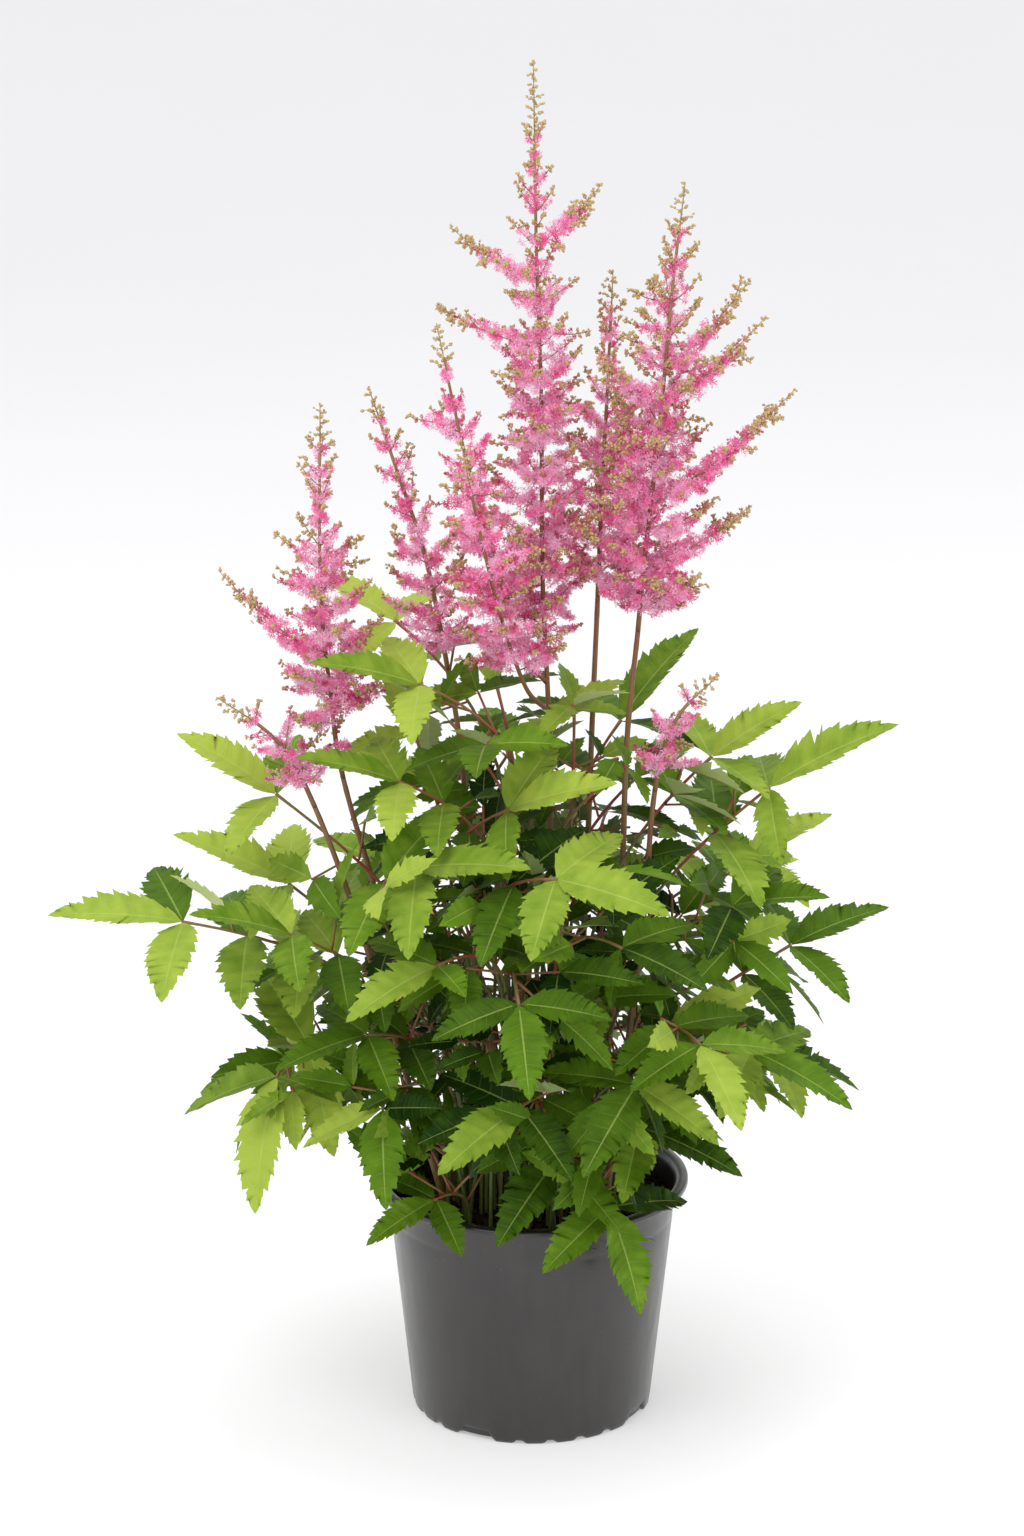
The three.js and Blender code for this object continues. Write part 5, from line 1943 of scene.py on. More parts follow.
@dataclass
class Frond:
    """A compound leaf: a petiole from the soil, its twigs and its toothed leaflets."""

    name: str
    kind: LeafKind
    hub: Vec
    tip: Vec
    seed: int = 1
    slack: float = 1.0
    blades: list = field(default_factory=list)
    twigs: list = field(default_factory=list)
    own_count: int = 0

    @property
    def owner(self) -> str:
        """The solid that it replaces."""
        return f"frond_{self.name}"

    def place(self, room: Room, tries: int = ROOM.petiole_tries) -> bool:
        """Finds the petiole a way up between the others, and says whether there was one.

        Args:
            room: What is already placed.
            tries: How often the leaf may sway.

        Returns:
            True if there was one.
        """
        self.room = room
        self.draw = Draws(self.seed)
        outward = unit(np.array([self.hub[0], self.hub[1], 0]))
        light = np.array([0, -LEAF.facing_front, 1])
        self.facing = unit(outward * LEAF.facing_outward + light)
        for attempt in range(tries):
            sway = attempt * ROOM.petiole_sway
            hub = self.hub + np.array([self.draw(-sway, sway) for _ in range(3)])
            reach = self.tip - self.hub
            foot = self.foot_under(hub, attempt)
            curve = self.petiole(foot, hub, unit(reach))
            path = [at for at, _ in curve.stations(0, 1, LEAF.room_steps)]
            spots = stem_spots(path).shrunk(self.slack)
            if room.is_free(spots, self.owner) and room.foot_is_free(foot, self.slack):
                room.add(spots, self.owner)
                room.feet.append(foot)
                self.size = math.sqrt(reach @ reach)
                self.foot, self.curve = foot, curve
                self.lay_stations()
                return True
        return False

    def foot_under(self, hub: Vec, attempt: int) -> Vec:
        """Where the petiole stands: the lower the leaf hangs, the further out.

        Args:
            hub: Where the end leaflet starts.
            attempt: Number of the try.

        Returns:
            The foot, in its hole.
        """
        azimuth = math.degrees(math.atan2(hub[1], hub[0]))
        wanted = CLUMP.outer - CLUMP.radius_per_height * (hub[2] - CLUMP.from_height)
        radius = max(CLUMP.inner, min(CLUMP.outer, wanted))
        swing = CLUMP.swing + attempt * ROOM.foot_swing
        spread = min(ROOM.foot_spread, attempt)
        radius += self.draw(-spread, spread / 3)
        return polar(radius, azimuth + self.draw(-swing, swing), SOIL.top - SOIL.hole_depth)

    def petiole(self, foot: Vec, hub: Vec, end: Vec) -> Bow:
        """Straight up from the collar, then over into the direction of the end leaflet.

        Args:
            foot: Where it stands.
            hub: Where the end leaflet starts.
            end: The end leaflet's direction.

        Returns:
            The petiole's middle line.
        """
        collar = np.array([foot[0], foot[1], SOIL.top + SOIL.collar])
        span = math.sqrt((hub - collar) @ (hub - collar))
        return Bow(collar, collar + UP * (LEAF.rise * span), hub - end * (LEAF.lead * span), hub)

    def lay_stations(self) -> None:
        """Works out the petiole's sections, with the leaf's normal carried down to the foot."""
        pairs, twigs = self.kind.value
        length = self.curve.length()

        def node(behind: float, has_twigs: bool) -> tuple[float, float, bool]:
            """Where a node starts and ends."""
            back = behind * self.size
            return 1 - (back + LEAF.node_length) / length, 1 - back / length, has_twigs

        found = [node(behind, True) for behind in twigs] + [node(behind, False) for behind in pairs]
        self.nodes = sorted((item for item in found if item[0] > LEAF.bare_share), key=lambda item: item[0])
        bare = self.curve.stations(0, self.nodes[0][0] - LEAF.bare_step, LEAF.steps)
        bare[0] = (bare[0][0], UP)
        ends = [share for item in self.nodes for share in item[:2]]
        jointed = [(self.curve.point(share), self.curve.tangent(share)) for share in ends]
        self.stations = []
        normal = self.facing
        for at, along in reversed([(self.foot, UP), *bare, *jointed]):
            normal = square_to(normal, along)
            self.stations.insert(0, Station(at, along, normal))

    def grow(self) -> None:
        """Places the leaflets of every node, and the end one."""
        first = len(self.stations) - 2 * len(self.nodes)
        rings = [
            station.ring(between(LEAF.foot_radius, LEAF.hub_radius, min(1, index / first)))
            for index, station in enumerate(self.stations)
        ]
        for number, (_, _, has_twigs) in enumerate(self.nodes):
            index = first + 2 * number
            station = self.stations[index + 1]
            angle = LEAF.twig_angle if has_twigs else LEAF.pair_angle
            for face, side in SIDES:
                base = face_ring(rings[index], rings[index + 1], face).mean(0)
                way = turned(station.along, station.normal, side * angle)
                if has_twigs:
                    self.grow_twig(base, way, self.size)
                else:
                    self.grow_blade(base, way, LEAF.pair_length * self.size)
        self.grow_blade(rings[-1].mean(0), self.stations[-1].along, self.size)

    def grow_blade(self, base: Vec, direction: Vec, length: float) -> bool:
        """Bends a leaflet clear of what is there, and says whether it had room to grow.

        Args:
            base: Where it starts.
            direction: Where it should point.
            length: Its length at the first try.

        Returns:
            True if it had room.
        """
        normal = square_to(self.facing, direction)
        across = np.cross(normal, direction)
        for attempt in range(ROOM.tries if self.slack == 1 else FILL.small_tries):
            swing = ROOM.blade_first_swing + attempt * ROOM.blade_swing
            yaw = self.draw(-ROOM.blade_yaw, ROOM.blade_yaw)
            pitch = self.draw(-swing / 2, swing)
            roll = self.draw(-swing, swing)
            along = turned(turned(direction, normal, yaw), across, pitch)
            size = length * (1 - ROOM.blade_shrink * attempt)
            blade = Blade(base, along, square_to(turned(normal, along, roll), along), size)
            spots = blade.spots().shrunk(self.slack)
            is_low = self.slack < 1 and spots.at[:, 2].min() < POT.height + FILL.small_above
            if not is_low and self.room.is_free(spots, self.owner):
                self.room.add(spots, self.owner)
                self.blades.append(blade)
                return True
        return False

    def grow_twig(self, base: Vec, direction: Vec, size: float) -> bool:
        """Places a side twig with three leaflets, and says whether it had room to grow.

        Args:
            base: Where it starts.
            direction: Where it points.
            size: Length that its own sizes are shares of.

        Returns:
            True if it had room.
        """
        normal = square_to(self.facing, direction)
        reach = LEAF.twig_length * size
        spots = stem_spots([base, base + direction * reach]).shrunk(self.slack)
        if not self.room.is_free(spots.since(2), self.owner):
            return False
        self.room.add(spots, self.owner)
        fars = (reach - LEAF.node_length, reach)
        ends = [Station(base + direction * far, direction, normal) for far in fars]
        rings = [station.ring(LEAF.hub_radius) for station in ends]
        self.twigs.append((base, ends[1].at))
        for face, side in SIDES:
            root = face_ring(*rings, face).mean(0)
            way = turned(direction, normal, side * LEAF.pair_angle)
            self.grow_blade(root, way, LEAF.twig_side_leaflet * size)
        self.grow_blade(rings[1].mean(0), direction, LEAF.twig_leaflet * size)
        return True

    def fill(self) -> None:
        """Adds small twigs lower on the petiole, where there is room, with leaflets that face out."""
        self.own_count = len(self.blades)
        self.slack = FILL.twig_slack
        outward = unit(np.array([self.hub[0], self.hub[1], 0]))
        every, which = FILL.turned_over
        for index in range(FILL.twig_tries):
            lean = self.draw(*FILL.twig_leans)
            is_turned_over = index % every == which
            facing = unit(outward * (-1.2 * lean if is_turned_over else lean) + UP * 0.6)
            self.facing = turned(facing, UP, self.draw(-FILL.twig_facing_swing, FILL.twig_facing_swing))
            share = self.draw(*FILL.twig_shares)
            at, along = self.curve.point(share), self.curve.tangent(share)
            normal = square_to(self.facing, along)
            way = turned(along, normal, (1 if index % 2 else -1) * self.draw(*FILL.twig_angles))
            way = turned(way, along, self.draw(-FILL.twig_roll, FILL.twig_roll))
            size = self.draw(*FILL.twig_sizes)
            if at[2] + way[2] * size > POT.height + FILL.small_above + FILL.twig_above:
                self.grow_twig(at + way * LEAF.hub_radius, way, size)

    def build(self, kit: FoliageKit) -> None:
        """Builds the petiole, the twigs and the leaflets as one piece.

        Args:
            kit: The shapes and finishes that all of them share.
        """
        draft = Draft()
        self.build_into(draft, kit)
        piece = draft.piece(f"foliage_{self.name}", kit.finishes)
        piece.stands_for(self.owner, "leaf")

    def build_into(self, draft: Draft, kit: FoliageKit) -> None:
        """Adds the petiole, the twigs and the leaflets to a mesh.

        Args:
            draft: The mesh in the making.
            kit: The shapes and finishes that all of them share.
        """
        chance = np.random.default_rng(self.seed)
        shade = chance.normal(0, 0.09)
        path = np.array([self.foot, *[at for at, _ in self.curve.stations(0, 1, STEPS.petiole)]])
        shares = np.linspace(0, 1, len(path))
        radii = between(LEAF.foot_radius, LEAF.hub_radius, shares) * 0.8
        for start, end, _ in self.nodes:
            radii += 0.25 * np.exp(-(((shares - (start + end) / 2) / 0.02) ** 2))
        red = 0.05 + 0.35 * shares**2 + 0.6 * np.exp(-(((shares - self.nodes[0][0]) / 0.09) ** 2))
        tint = np.column_stack([red, 0 * shares, shares])
        draft.tube(path, radii, STEPS.petiole_sides, 2, tint)
        for start, end in self.twigs:
            line = np.linspace(start, end, STEPS.twig)
            red = np.array([0.9, 0.55, 0.4, 0.6, 0.85])
            tint = np.column_stack([red, red * 0, red * 0])
            draft.tube(line, np.full(STEPS.twig, 0.75), STEPS.petiole_sides, 2, tint)
        for index, blade in enumerate(self.blades):
            leaflet = kit.leaflet if index < self.own_count else kit.small_leaflet
            # The tone carries painted shade: leaflets darker low and inside the clump.
            leaflet.build(draft, blade, kit.tone_and_shade_at(blade) + shade, chance)


@dataclass(frozen=True)
class Leaflet:
    """The fine form of a leaflet: its toothed edge, its veins and the swell between them."""

    teeth: int = 9
    columns: tuple = (0.0, 0.4, 0.78, 1.0)
    tooth: tuple = ((0.0, 1.0, 0.0), (0.4, 0.42, 0.008), (0.52, 0.56, 0.01), (0.86, -0.25, 0.034))
    thickness: float = 0.3
    tooth_depth: float = 0.27
    quilt: float = 0.3
    skew: float = 0.13
    fullness: float = 0.86
    roundness: float = 0.92
    lobed_share: float = 0.4
    veins: int = 7

    def outline(self, shares: Vec) -> Vec:
        """The half width at some shares of the length, from 0 to 1."""
        held = np.clip(shares, 0, 1)
        return 0.97 * np.sin(math.pi * held**self.fullness) ** (self.roundness - 0.15 * held)

    def rows(self, chance: Chance) -> tuple[Vec, Vec, Vec]:
        """The slanting rows from the midrib to the edge of one half.

        Args:
            chance: Draws for the teeth's irregular sizes.

        Returns:
            Share at the midrib, share at the edge, and half width there.
        """
        ends = np.concatenate([[0], np.cumsum(chance.uniform(0.6, 1.5, self.teeth))])
        ends /= ends[-1]
        lobe = chance.integers(self.teeth // 3, self.teeth - 1) if chance.uniform() < self.lobed_share else -1
        inner, outer, wide = [], [], []
        for number in range(self.teeth):
            start, end = ends[number], ends[number + 1]
            depth = self.tooth_depth * (0.35 + 0.8 * start) * (end - start) * self.teeth
            depth = 0.46 if number == lobe else min(0.4, depth * chance.uniform(0.8, 1.25))
            for step, inset, forward in self.tooth:
                share = start + step * (end - start)
                edge = share + self.skew * (1 - share) * min(1, 6 * share)
                inner.append(share)
                outer.append(min(1.0, edge + forward * min(1, 4 * share)))
                wide.append((1 - inset * depth) if share > 0 else 0.3)
        wide = np.array(wide) * self.outline(np.array(outer))
        return np.append(inner, 0.99), np.append(outer, 1.0), np.append(wide, 0.0)

    def build(self, draft: Draft, blade: Blade, tone_and_shade: float, chance: Chance) -> None:
        """Adds the leaflet's two faces to a mesh.

        Args:
            draft: The mesh in the making.
            blade: Where the leaflet is.
            tone_and_shade: How bright its green is, with the painted shade of where it sits.
            chance: Draws for its small irregularities.
        """
        columns = np.array(self.columns)[None]
        tone_and_shade = tone_and_shade + chance.normal(0, 0.19)
        wave, curl = chance.uniform(0, SPIN), chance.normal(0, 0.5)
        for side in (1, -1):
            inner, outer, wide = self.rows(chance)
            shares = inner[:, None] + (outer - inner)[:, None] * columns
            out = wide[:, None] * columns
            row = inner[:, None] * self.veins
            swell = np.sin(math.pi * np.clip(out, 0, 1)) * np.cos(2 * math.pi * row)
            ripple = (0.8 * np.sin(8 * shares + wave + 2 * side) + curl) * out**2
            lift = (self.quilt * swell + ripple) * blade.length / 50
            tint = np.stack(np.broadcast_arrays(tone_and_shade, row, columns), axis=-1).astype(float)
            half = self.thickness / 2 * (1 - columns**3)
            for finish, up in ((0, 1), (1, -1)):
                rows = blade.surface(shares, side * out, lift + up * half)
                draft.grid(rows, finish, tint, flips=(side * up) < 0)


@dataclass(frozen=True)
class FoliageKit:
    """The leaflet form and the finishes that all leaves share."""

    leaflet: Leaflet
    small_leaflet: Leaflet
    finishes: list
    # Heights and radii that set the painted shade of the leaflets.
    low: float = 180
    rise: float = 260
    inner: float = 58
    outward: float = 110

    def tone_and_shade_at(self, blade: Blade) -> float:
        """How bright a leaflet is, as painted light and shade: brighter high up and outside, darker low and
        inside the clump.

        Args:
            blade: Where the leaflet is.

        Returns:
            The tone, with its painted shade.
        """
        middle = blade.base + blade.along * blade.length / 2
        high = (middle[2] - self.low) / self.rise
        out = min(0.85, (math.hypot(middle[0], middle[1] * 0.7) - self.inner) / self.outward)
        # Painted shade: darker low and inside the clump, painted lighter high up and outside.
        return float(min(0.95, max(-0.05, 0.25 - 0.50 * high + 0.83 * high**2 + 0.54 * out)))


@dataclass(frozen=True)
class Thicket:
    """Smaller leaves in and round the clump, placed by a rule wherever there is room."""

    name: str
    count: int
    seed: int
    heights: tuple[float, float]
    radii: tuple[float, float]
    narrowed: float
    slopes: tuple[float, float]
    reaches: tuple[float, float] = (36, 52)
    slack: float = 0.36
    seed_gap: int = 99
    tries: int = 24
    narrowed_over: float = 100
    heading_swing: float = 50
    facing_leans: tuple[float, float] = (0.1, 1.1)
    facing_swing: float = 70

    def place(self, room: Room) -> list[Frond]:
        """Tries each leaf, and keeps those whose petiole has a way up.

        Args:
            room: What is already placed.

        Returns:
            The leaves that it kept.
        """
        found = []
        draw = Draws(self.seed)
        for index in range(self.count):
            height = draw(*self.heights)
            inner, outer = self.radii
            narrowing = max(0, 1 - (height - self.heights[0]) / self.narrowed_over)
            widest = outer - self.narrowed * narrowing
            azimuth = GOLDEN_TURN * index
            radius = draw(inner, widest)
            heading = azimuth + draw(-self.heading_swing, self.heading_swing)
            slope = math.radians(draw(*self.slopes))
            reach = draw(*self.reaches)
            hub = polar(radius, azimuth, height)
            step = polar(reach * math.cos(slope), heading, reach * math.sin(slope))
            kind = (LeafKind.FIVE, LeafKind.NINE, LeafKind.THREE)[index % 3]
            seed = self.seed + self.seed_gap + LEAF_SEED_STEP * index
            leaf = Frond(f"{self.name}_{index}", kind, hub, hub + step, seed, self.slack)
            if leaf.place(room, self.tries):
                lean = draw(*self.facing_leans)
                swing = draw(-self.facing_swing, self.facing_swing)
                leaf.facing = unit(polar(lean, azimuth + swing, 1))
                found.append(leaf)
        return found


def fronds() -> list[Frond]:
    """The leaves: listed ones in front and at the sides, and those of the far side by a rule.

    Returns:
        The leaves, each with its seed.
    """
    three, five, seven, nine = LeafKind.THREE, LeafKind.FIVE, LeafKind.SEVEN, LeafKind.NINE
    rows = [
        ("far_left", seven, (-208, -28, 318), (-283, -42, 336)),
        ("left_low", seven, (-142, -62, 322), (-196, -84, 352)),
        ("left_mid", five, (-146, 8, 330), (-204, 10, 376)),
        ("left_high", nine, (-152, -10, 392), (-206, 0, 432)),
        ("upper_left", five, (-78, -56, 414), (-134, -72, 440)),
        ("fan", five, (-66, -88, 372), (-8, -128, 396)),
        ("top_left", nine, (-66, -46, 470), (-122, -66, 498)),
        ("top_small", three, (-82, 54, 480), (-126, 84, 508)),
        ("upright_left", five, (-70, 10, 424), (-88, 30, 476)),
        ("upright_right", five, (54, 62, 416), (98, 88, 470)),
        ("right_high_in", five, (100, 8, 408), (146, 16, 448)),
        ("right_high", five, (140, -22, 400), (203, -30, 455)),
        ("right_pale", five, (130, 48, 330), (184, 72, 356)),
        ("right_dark", nine, (112, -50, 338), (164, -78, 366)),
        ("right_out", five, (156, 6, 292), (212, 20, 322)),
        ("right_low", seven, (130, -62, 250), (190, -92, 234)),
        ("right_front", five, (98, -104, 268), (128, -152, 246)),
        ("front_right", five, (60, -112, 246), (34, -166, 218)),
        ("rim_right", five, (64, -70, 204), (124, -94, 188)),
        ("over_rim", three, (46, -90, 160), (74, -114, 106)),
        ("front_low", three, (14, -88, 190), (-26, -134, 164)),
        ("rim_left", three, (-58, -76, 160), (-98, -102, 148)),
        ("hang_left", five, (-88, -88, 222), (-92, -130, 178)),
        ("droop_left", five, (-152, -46, 226), (-172, -88, 160)),
        ("front_mid", nine, (-8, -140, 306), (0, -190, 272)),
        ("front_high", five, (14, -110, 372), (76, -146, 380)),
        ("mid_right", nine, (52, -104, 328), (104, -142, 312)),
        ("mid_left", five, (-56, -112, 320), (-108, -148, 306)),
        ("low_left", five, (-98, -70, 262), (-152, -100, 266)),
        ("low_mid", seven, (-8, -112, 232), (-52, -156, 214)),
        ("high_mid", five, (-14, -66, 400), (42, -96, 430)),
    ]
    found = [Frond(name, kind, np.array(hub, float), np.array(tip, float)) for name, kind, hub, tip in rows]
    tiers = [(five, 150, 212, 64, -18), (nine, 136, 316, 62, 6), (five, 84, 392, 60, 20)]
    count, start, end = 10, 14, 170
    for index in range(count):
        kind, radius, height, reach, dip = tiers[index % len(tiers)]
        azimuth = between(start, end, index / (count - 1))
        hub = polar(radius, azimuth, height)
        slope = math.radians(dip)
        tip = hub + polar(reach * math.cos(slope), azimuth, reach * math.sin(slope))
        found.append(Frond(f"far_{index + 1}", kind, hub, tip))
    for index, leaf in enumerate(found):
        leaf.seed = LEAF_SEED + LEAF_SEED_STEP * index
    return found


# Pot and soil


@dataclass(frozen=True)
class NurseryPot:
    """The moulded pot, with drain notches and small scallops along the foot of its wall."""

    segments: int = 288
    notches: tuple = (4, -28, 23, 3, 6)
    scallops: tuple = (24, -6, 8, 2, 1.9)
    recess_radius: float = 64

    def foot(self, degrees: Vec) -> Vec:
        """How high the foot of the wall is above the ground, by azimuth from the front.

        Args:
            degrees: The azimuths.

        Returns:
            The heights, in millimetres.
        """
        height = np.zeros(len(degrees))
        for count, first, width, taper, deep in (self.notches, self.scallops):
            for index in range(count):
                away = (degrees - first - 360 * index / count + 180) % 360 - 180
                off = np.abs(np.radians(away)) * POT.base_radius
                height = np.maximum(height, deep * np.clip((width / 2 - off) / taper, 0, 1))
        return height

    def profile(self) -> list[tuple[float, float]]:
        """Radius and height down the outside from the floor's inside, over the lip.

        Returns:
            The corners of the section.
        """
        lip = POT.height - POT.lip_height
        step = POT.height - POT.step_drop
        rim = POT.rim_radius
        foot = [(0.02, 0), (30, 0), (self.recess_radius - 0.4, 0), (self.recess_radius, 0.4)]
        base = [(self.recess_radius + 0.2, 0.6), (70.8, 0), (71.8, 0.3), (POT.base_radius, 1.5)]
        wall = [(POT.wall_radius(z), z) for z in (4, 8, 20, 45, 80, 110, step - 2)]
        ridge = [(POT.wall_radius(step) - POT.step + 0.1, step - 0.4), (POT.wall_radius(step), step + 0.8)]
        upper = [(POT.wall_radius(z), z) for z in (step + 3, step + 8, lip - 3)]
        under = [(POT.top_radius + 0.2, lip - 0.9), (POT.top_radius + 1.6, lip - 0.2), (rim - 1.2, lip)]
        roll = [(rim - 0.3, lip + 0.4), (rim, lip + 1.2), (rim - 0.25, lip + 1.9), (rim - 0.05, lip + 2.6)]
        top = [(rim - 0.4, POT.height - 0.5), (rim - 1.5, POT.height), (POT.top_radius + 1.6, POT.height)]
        inner = [(POT.top_radius + 0.2, POT.height - 0.7), (POT.top_radius - POT.wall, lip - 1.2)]
        inside = [(POT.wall_radius(z) - POT.wall, z) for z in (120, 90, 40)]
        bottom = [(POT.base_radius - POT.wall, POT.floor), (30, POT.floor), (0.02, POT.floor)]
        return foot + base + wall + ridge + upper + under + roll + top + inner + inside + bottom

    def build(self, finish: Finish) -> None:
        """Builds the pot.

        Args:
            finish: Its plastic.
        """
        profile = np.array(self.profile(), float)
        degrees = np.linspace(0, 360, self.segments, endpoint=False)
        angles = np.radians(degrees - 90)
        rise = self.foot(degrees)[None]
        radii, heights = profile[:, :1], profile[:, 1:]
        is_low = (np.arange(len(profile)) > 3)[:, None] & (np.arange(len(profile)) < 11)[:, None]
        lifted = np.where(is_low & (heights < 12), heights + rise * (1 - heights / 12), heights)
        rows = np.stack([radii * np.cos(angles), radii * np.sin(angles), lifted + 0 * angles], axis=-1)
        draft = Draft()
        # Painted shade: the rows of the rolled lip and its underside are marked to be painted darker.
        painted_lip_shade = np.clip((heights - POT.height + POT.lip_height + 1.2) / 0.8, 0, 1)[:, :, None]
        draft.grid(rows, 0, painted_lip_shade, wraps=True)
        piece = draft.piece("nursery_pot", [finish.material()])
        piece.stands_for("pot", "pot_plastic")


@dataclass(frozen=True)
class PottingSoil:
    """Peat with crumbs, fibres and grit."""

    rings: int = 36
    segments: int = 120
    crumbs: int = 1200
    fibres: int = 120
    grains: int = 260
    grit_patch: tuple = (-30, -66, 17)
    fibre_patch: tuple = (30, -60, 22)
    seed: int = 77

    def height(self, x: Vec, y: Vec) -> Vec:
        """How high the soil lies, without its crumbs."""
        across_x, across_y = SOIL.bump_lengths
        return SOIL.top + SOIL.bump * np.sin(x / across_x + 1) * np.cos(y / across_y - 0.5)

    def rough(self, x: float, y: float) -> float:
        """The small clods of the surface.

        Args:
            x: Place to the right, in millimetres.
            y: Place to the back, in millimetres.

        Returns:
            How far the clods stand out.
        """
        broad = noise.noise((x / 7, y / 7, 0.3))
        fine = noise.noise((x / 2.2, y / 2.2, 4.1))
        return 0.9 * broad + 0.6 * fine

    def build(self, peat: Finish, grit: Finish) -> None:
        """Builds the soil.

        Args:
            peat: Finish of the peat.
            grit: Finish of the sand and perlite.
        """
        draft = Draft()
        chance = np.random.default_rng(self.seed)
        inside = POT.wall_radius(SOIL.top) - POT.wall - 2 * GAP
        self.add_body(draft, inside)
        crumb = self.crumb()
        places = self.places(self.crumbs, inside - 3, chance)
        red = self.nearness(places, self.fibre_patch)
        sizes = chance.uniform(0.5, 1.0, self.crumbs) ** 2 * 2.6
        ways = self.any_ways(self.crumbs, chance)
        turns = frames_towards(ways, chance.uniform(0, SPIN, self.crumbs), sizes)
        dryness = chance.uniform(0.2, 1, self.crumbs)
        tint = np.column_stack([dryness, 0.5 * red, chance.uniform(0, 1, self.crumbs)])
        draft.scatter(crumb, places, turns, 0, tint)
        self.add_grains(draft, crumb, inside - 4, chance)
        self.add_fibres(draft, chance)
        piece = draft.piece("potting_soil", [peat.material(), grit.material()])
        piece.stands_for("soil", "soil")

    def add_body(self, draft: Draft, inside: float) -> None:
        """Adds the soil's surface, side and underside.

        Args:
            draft: The mesh in the making.
            inside: Radius of the surface.
        """
        angles = np.linspace(0, 2 * math.pi, self.segments, endpoint=False)
        bottom = POT.floor + GAP
        low = POT.wall_radius(bottom) - POT.wall - 2 * GAP
        rows = [
            np.stack([0.02 * np.cos(angles), 0.02 * np.sin(angles), bottom + 0 * angles], axis=-1),
            np.stack([low * np.cos(angles), low * np.sin(angles), bottom + 0 * angles], axis=-1),
        ]
        for radius in np.linspace(inside, 0.02, self.rings):
            x, y = radius * np.cos(angles), radius * np.sin(angles)
            lumps = np.array([self.rough(a, b) for a, b in zip(x, y)])
            rows.append(np.stack([x, y, self.height(x, y) + lumps], axis=-1))
        places = np.array(rows)
        red = self.nearness(places.reshape(-1, 3), self.fibre_patch).reshape(places.shape[:2])
        tint = np.stack([np.full(red.shape, 0.7), 0.35 * red, np.full(red.shape, 0.5)], axis=-1)
        draft.grid(places, 0, tint, wraps=True)

    def places(self, count: int, radius: float, chance: Chance) -> Vec:
        """Even chances over the soil's surface.

        Args:
            count: How many.
            radius: How far out, at most.
            chance: The draws.

        Returns:
            The places.
        """
        angles = chance.uniform(0, 2 * math.pi, count)
        radii = radius * np.sqrt(chance.uniform(0, 1, count))
        x, y = radii * np.cos(angles), radii * np.sin(angles)
        return np.column_stack([x, y, self.height(x, y) + 0.5])

    def nearness(self, places: Vec, patch: tuple) -> Vec:
        """From 0 to 1, how near some places are to a patch of x, y and radius."""
        x, y, radius = patch
        return np.exp(-(((places[:, 0] - x) ** 2 + (places[:, 1] - y) ** 2) / radius**2))

    def any_ways(self, count: int, chance: Chance) -> Vec:
        """Directions all round."""
        return units(chance.normal(0, 1, (count, 3)))

    def crumb(self) -> Shape:
        """A lumpy grain of unit size.

        Returns:
            The shape.
        """
        base = bead(4)
        bent = base.vertices * (1 + 0.3 * np.sin(7 * base.vertices[:, [1, 2, 0]]))
        return Shape(bent, base.faces, base.tint)

    def add_grains(self, draft: Draft, crumb: Shape, radius: float, chance: Chance) -> None:
        """Adds pale grit: a patch near the front, and specks all over.

        Args:
            draft: The mesh in the making.
            crumb: The grain's shape.
            radius: How far out, at most.
            chance: Draws for small irregularities.
        """
        x, y, spread = self.grit_patch
        near = chance.normal(0, spread / 2, (self.grains, 2)) + (x, y)
        loose = self.places(self.grains // 3, radius, chance)
        patch = np.column_stack([near, self.height(near[:, 0], near[:, 1]) + 0.9])
        places = np.concatenate([patch, loose])
        places = places[np.hypot(places[:, 0], places[:, 1]) < radius]
        count = len(places)
        sizes = chance.uniform(0.35, 1.0, count)
        turns = frames_towards(self.any_ways(count, chance), chance.uniform(0, SPIN, count), sizes)
        paleness = chance.uniform(0, 1, count) ** 2
        tint = np.column_stack([paleness, np.zeros(count), chance.uniform(0, 1, count)])
        draft.scatter(crumb, places, turns, 1, tint)

    def add_fibres(self, draft: Draft, chance: Chance) -> None:
        """Adds short strands of reddish fibre.

        Args:
            draft: The mesh in the making.
            chance: Draws for small irregularities.
        """
        x, y, spread = self.fibre_patch
        for _ in range(self.fibres):
            middle = chance.normal(0, spread / 2, 2) + (x, y)
            way = polar(1, chance.uniform(0, 360), 0)
            length = chance.uniform(2, 7)
            steps = np.linspace(-0.5, 0.5, 4)
            path = np.array([[*middle, 0]] * 4) + np.outer(steps * length, way)
            path[:, 2] = self.height(path[:, 0], path[:, 1]) + 1.0 + 0.8 * np.cos(steps * 3)
            tint = np.tile([0.9, chance.uniform(0.5, 1), chance.uniform(0, 1)], (4, 1))
            draft.tube(path, np.full(4, 0.22), 4, 0, tint)


# Studio


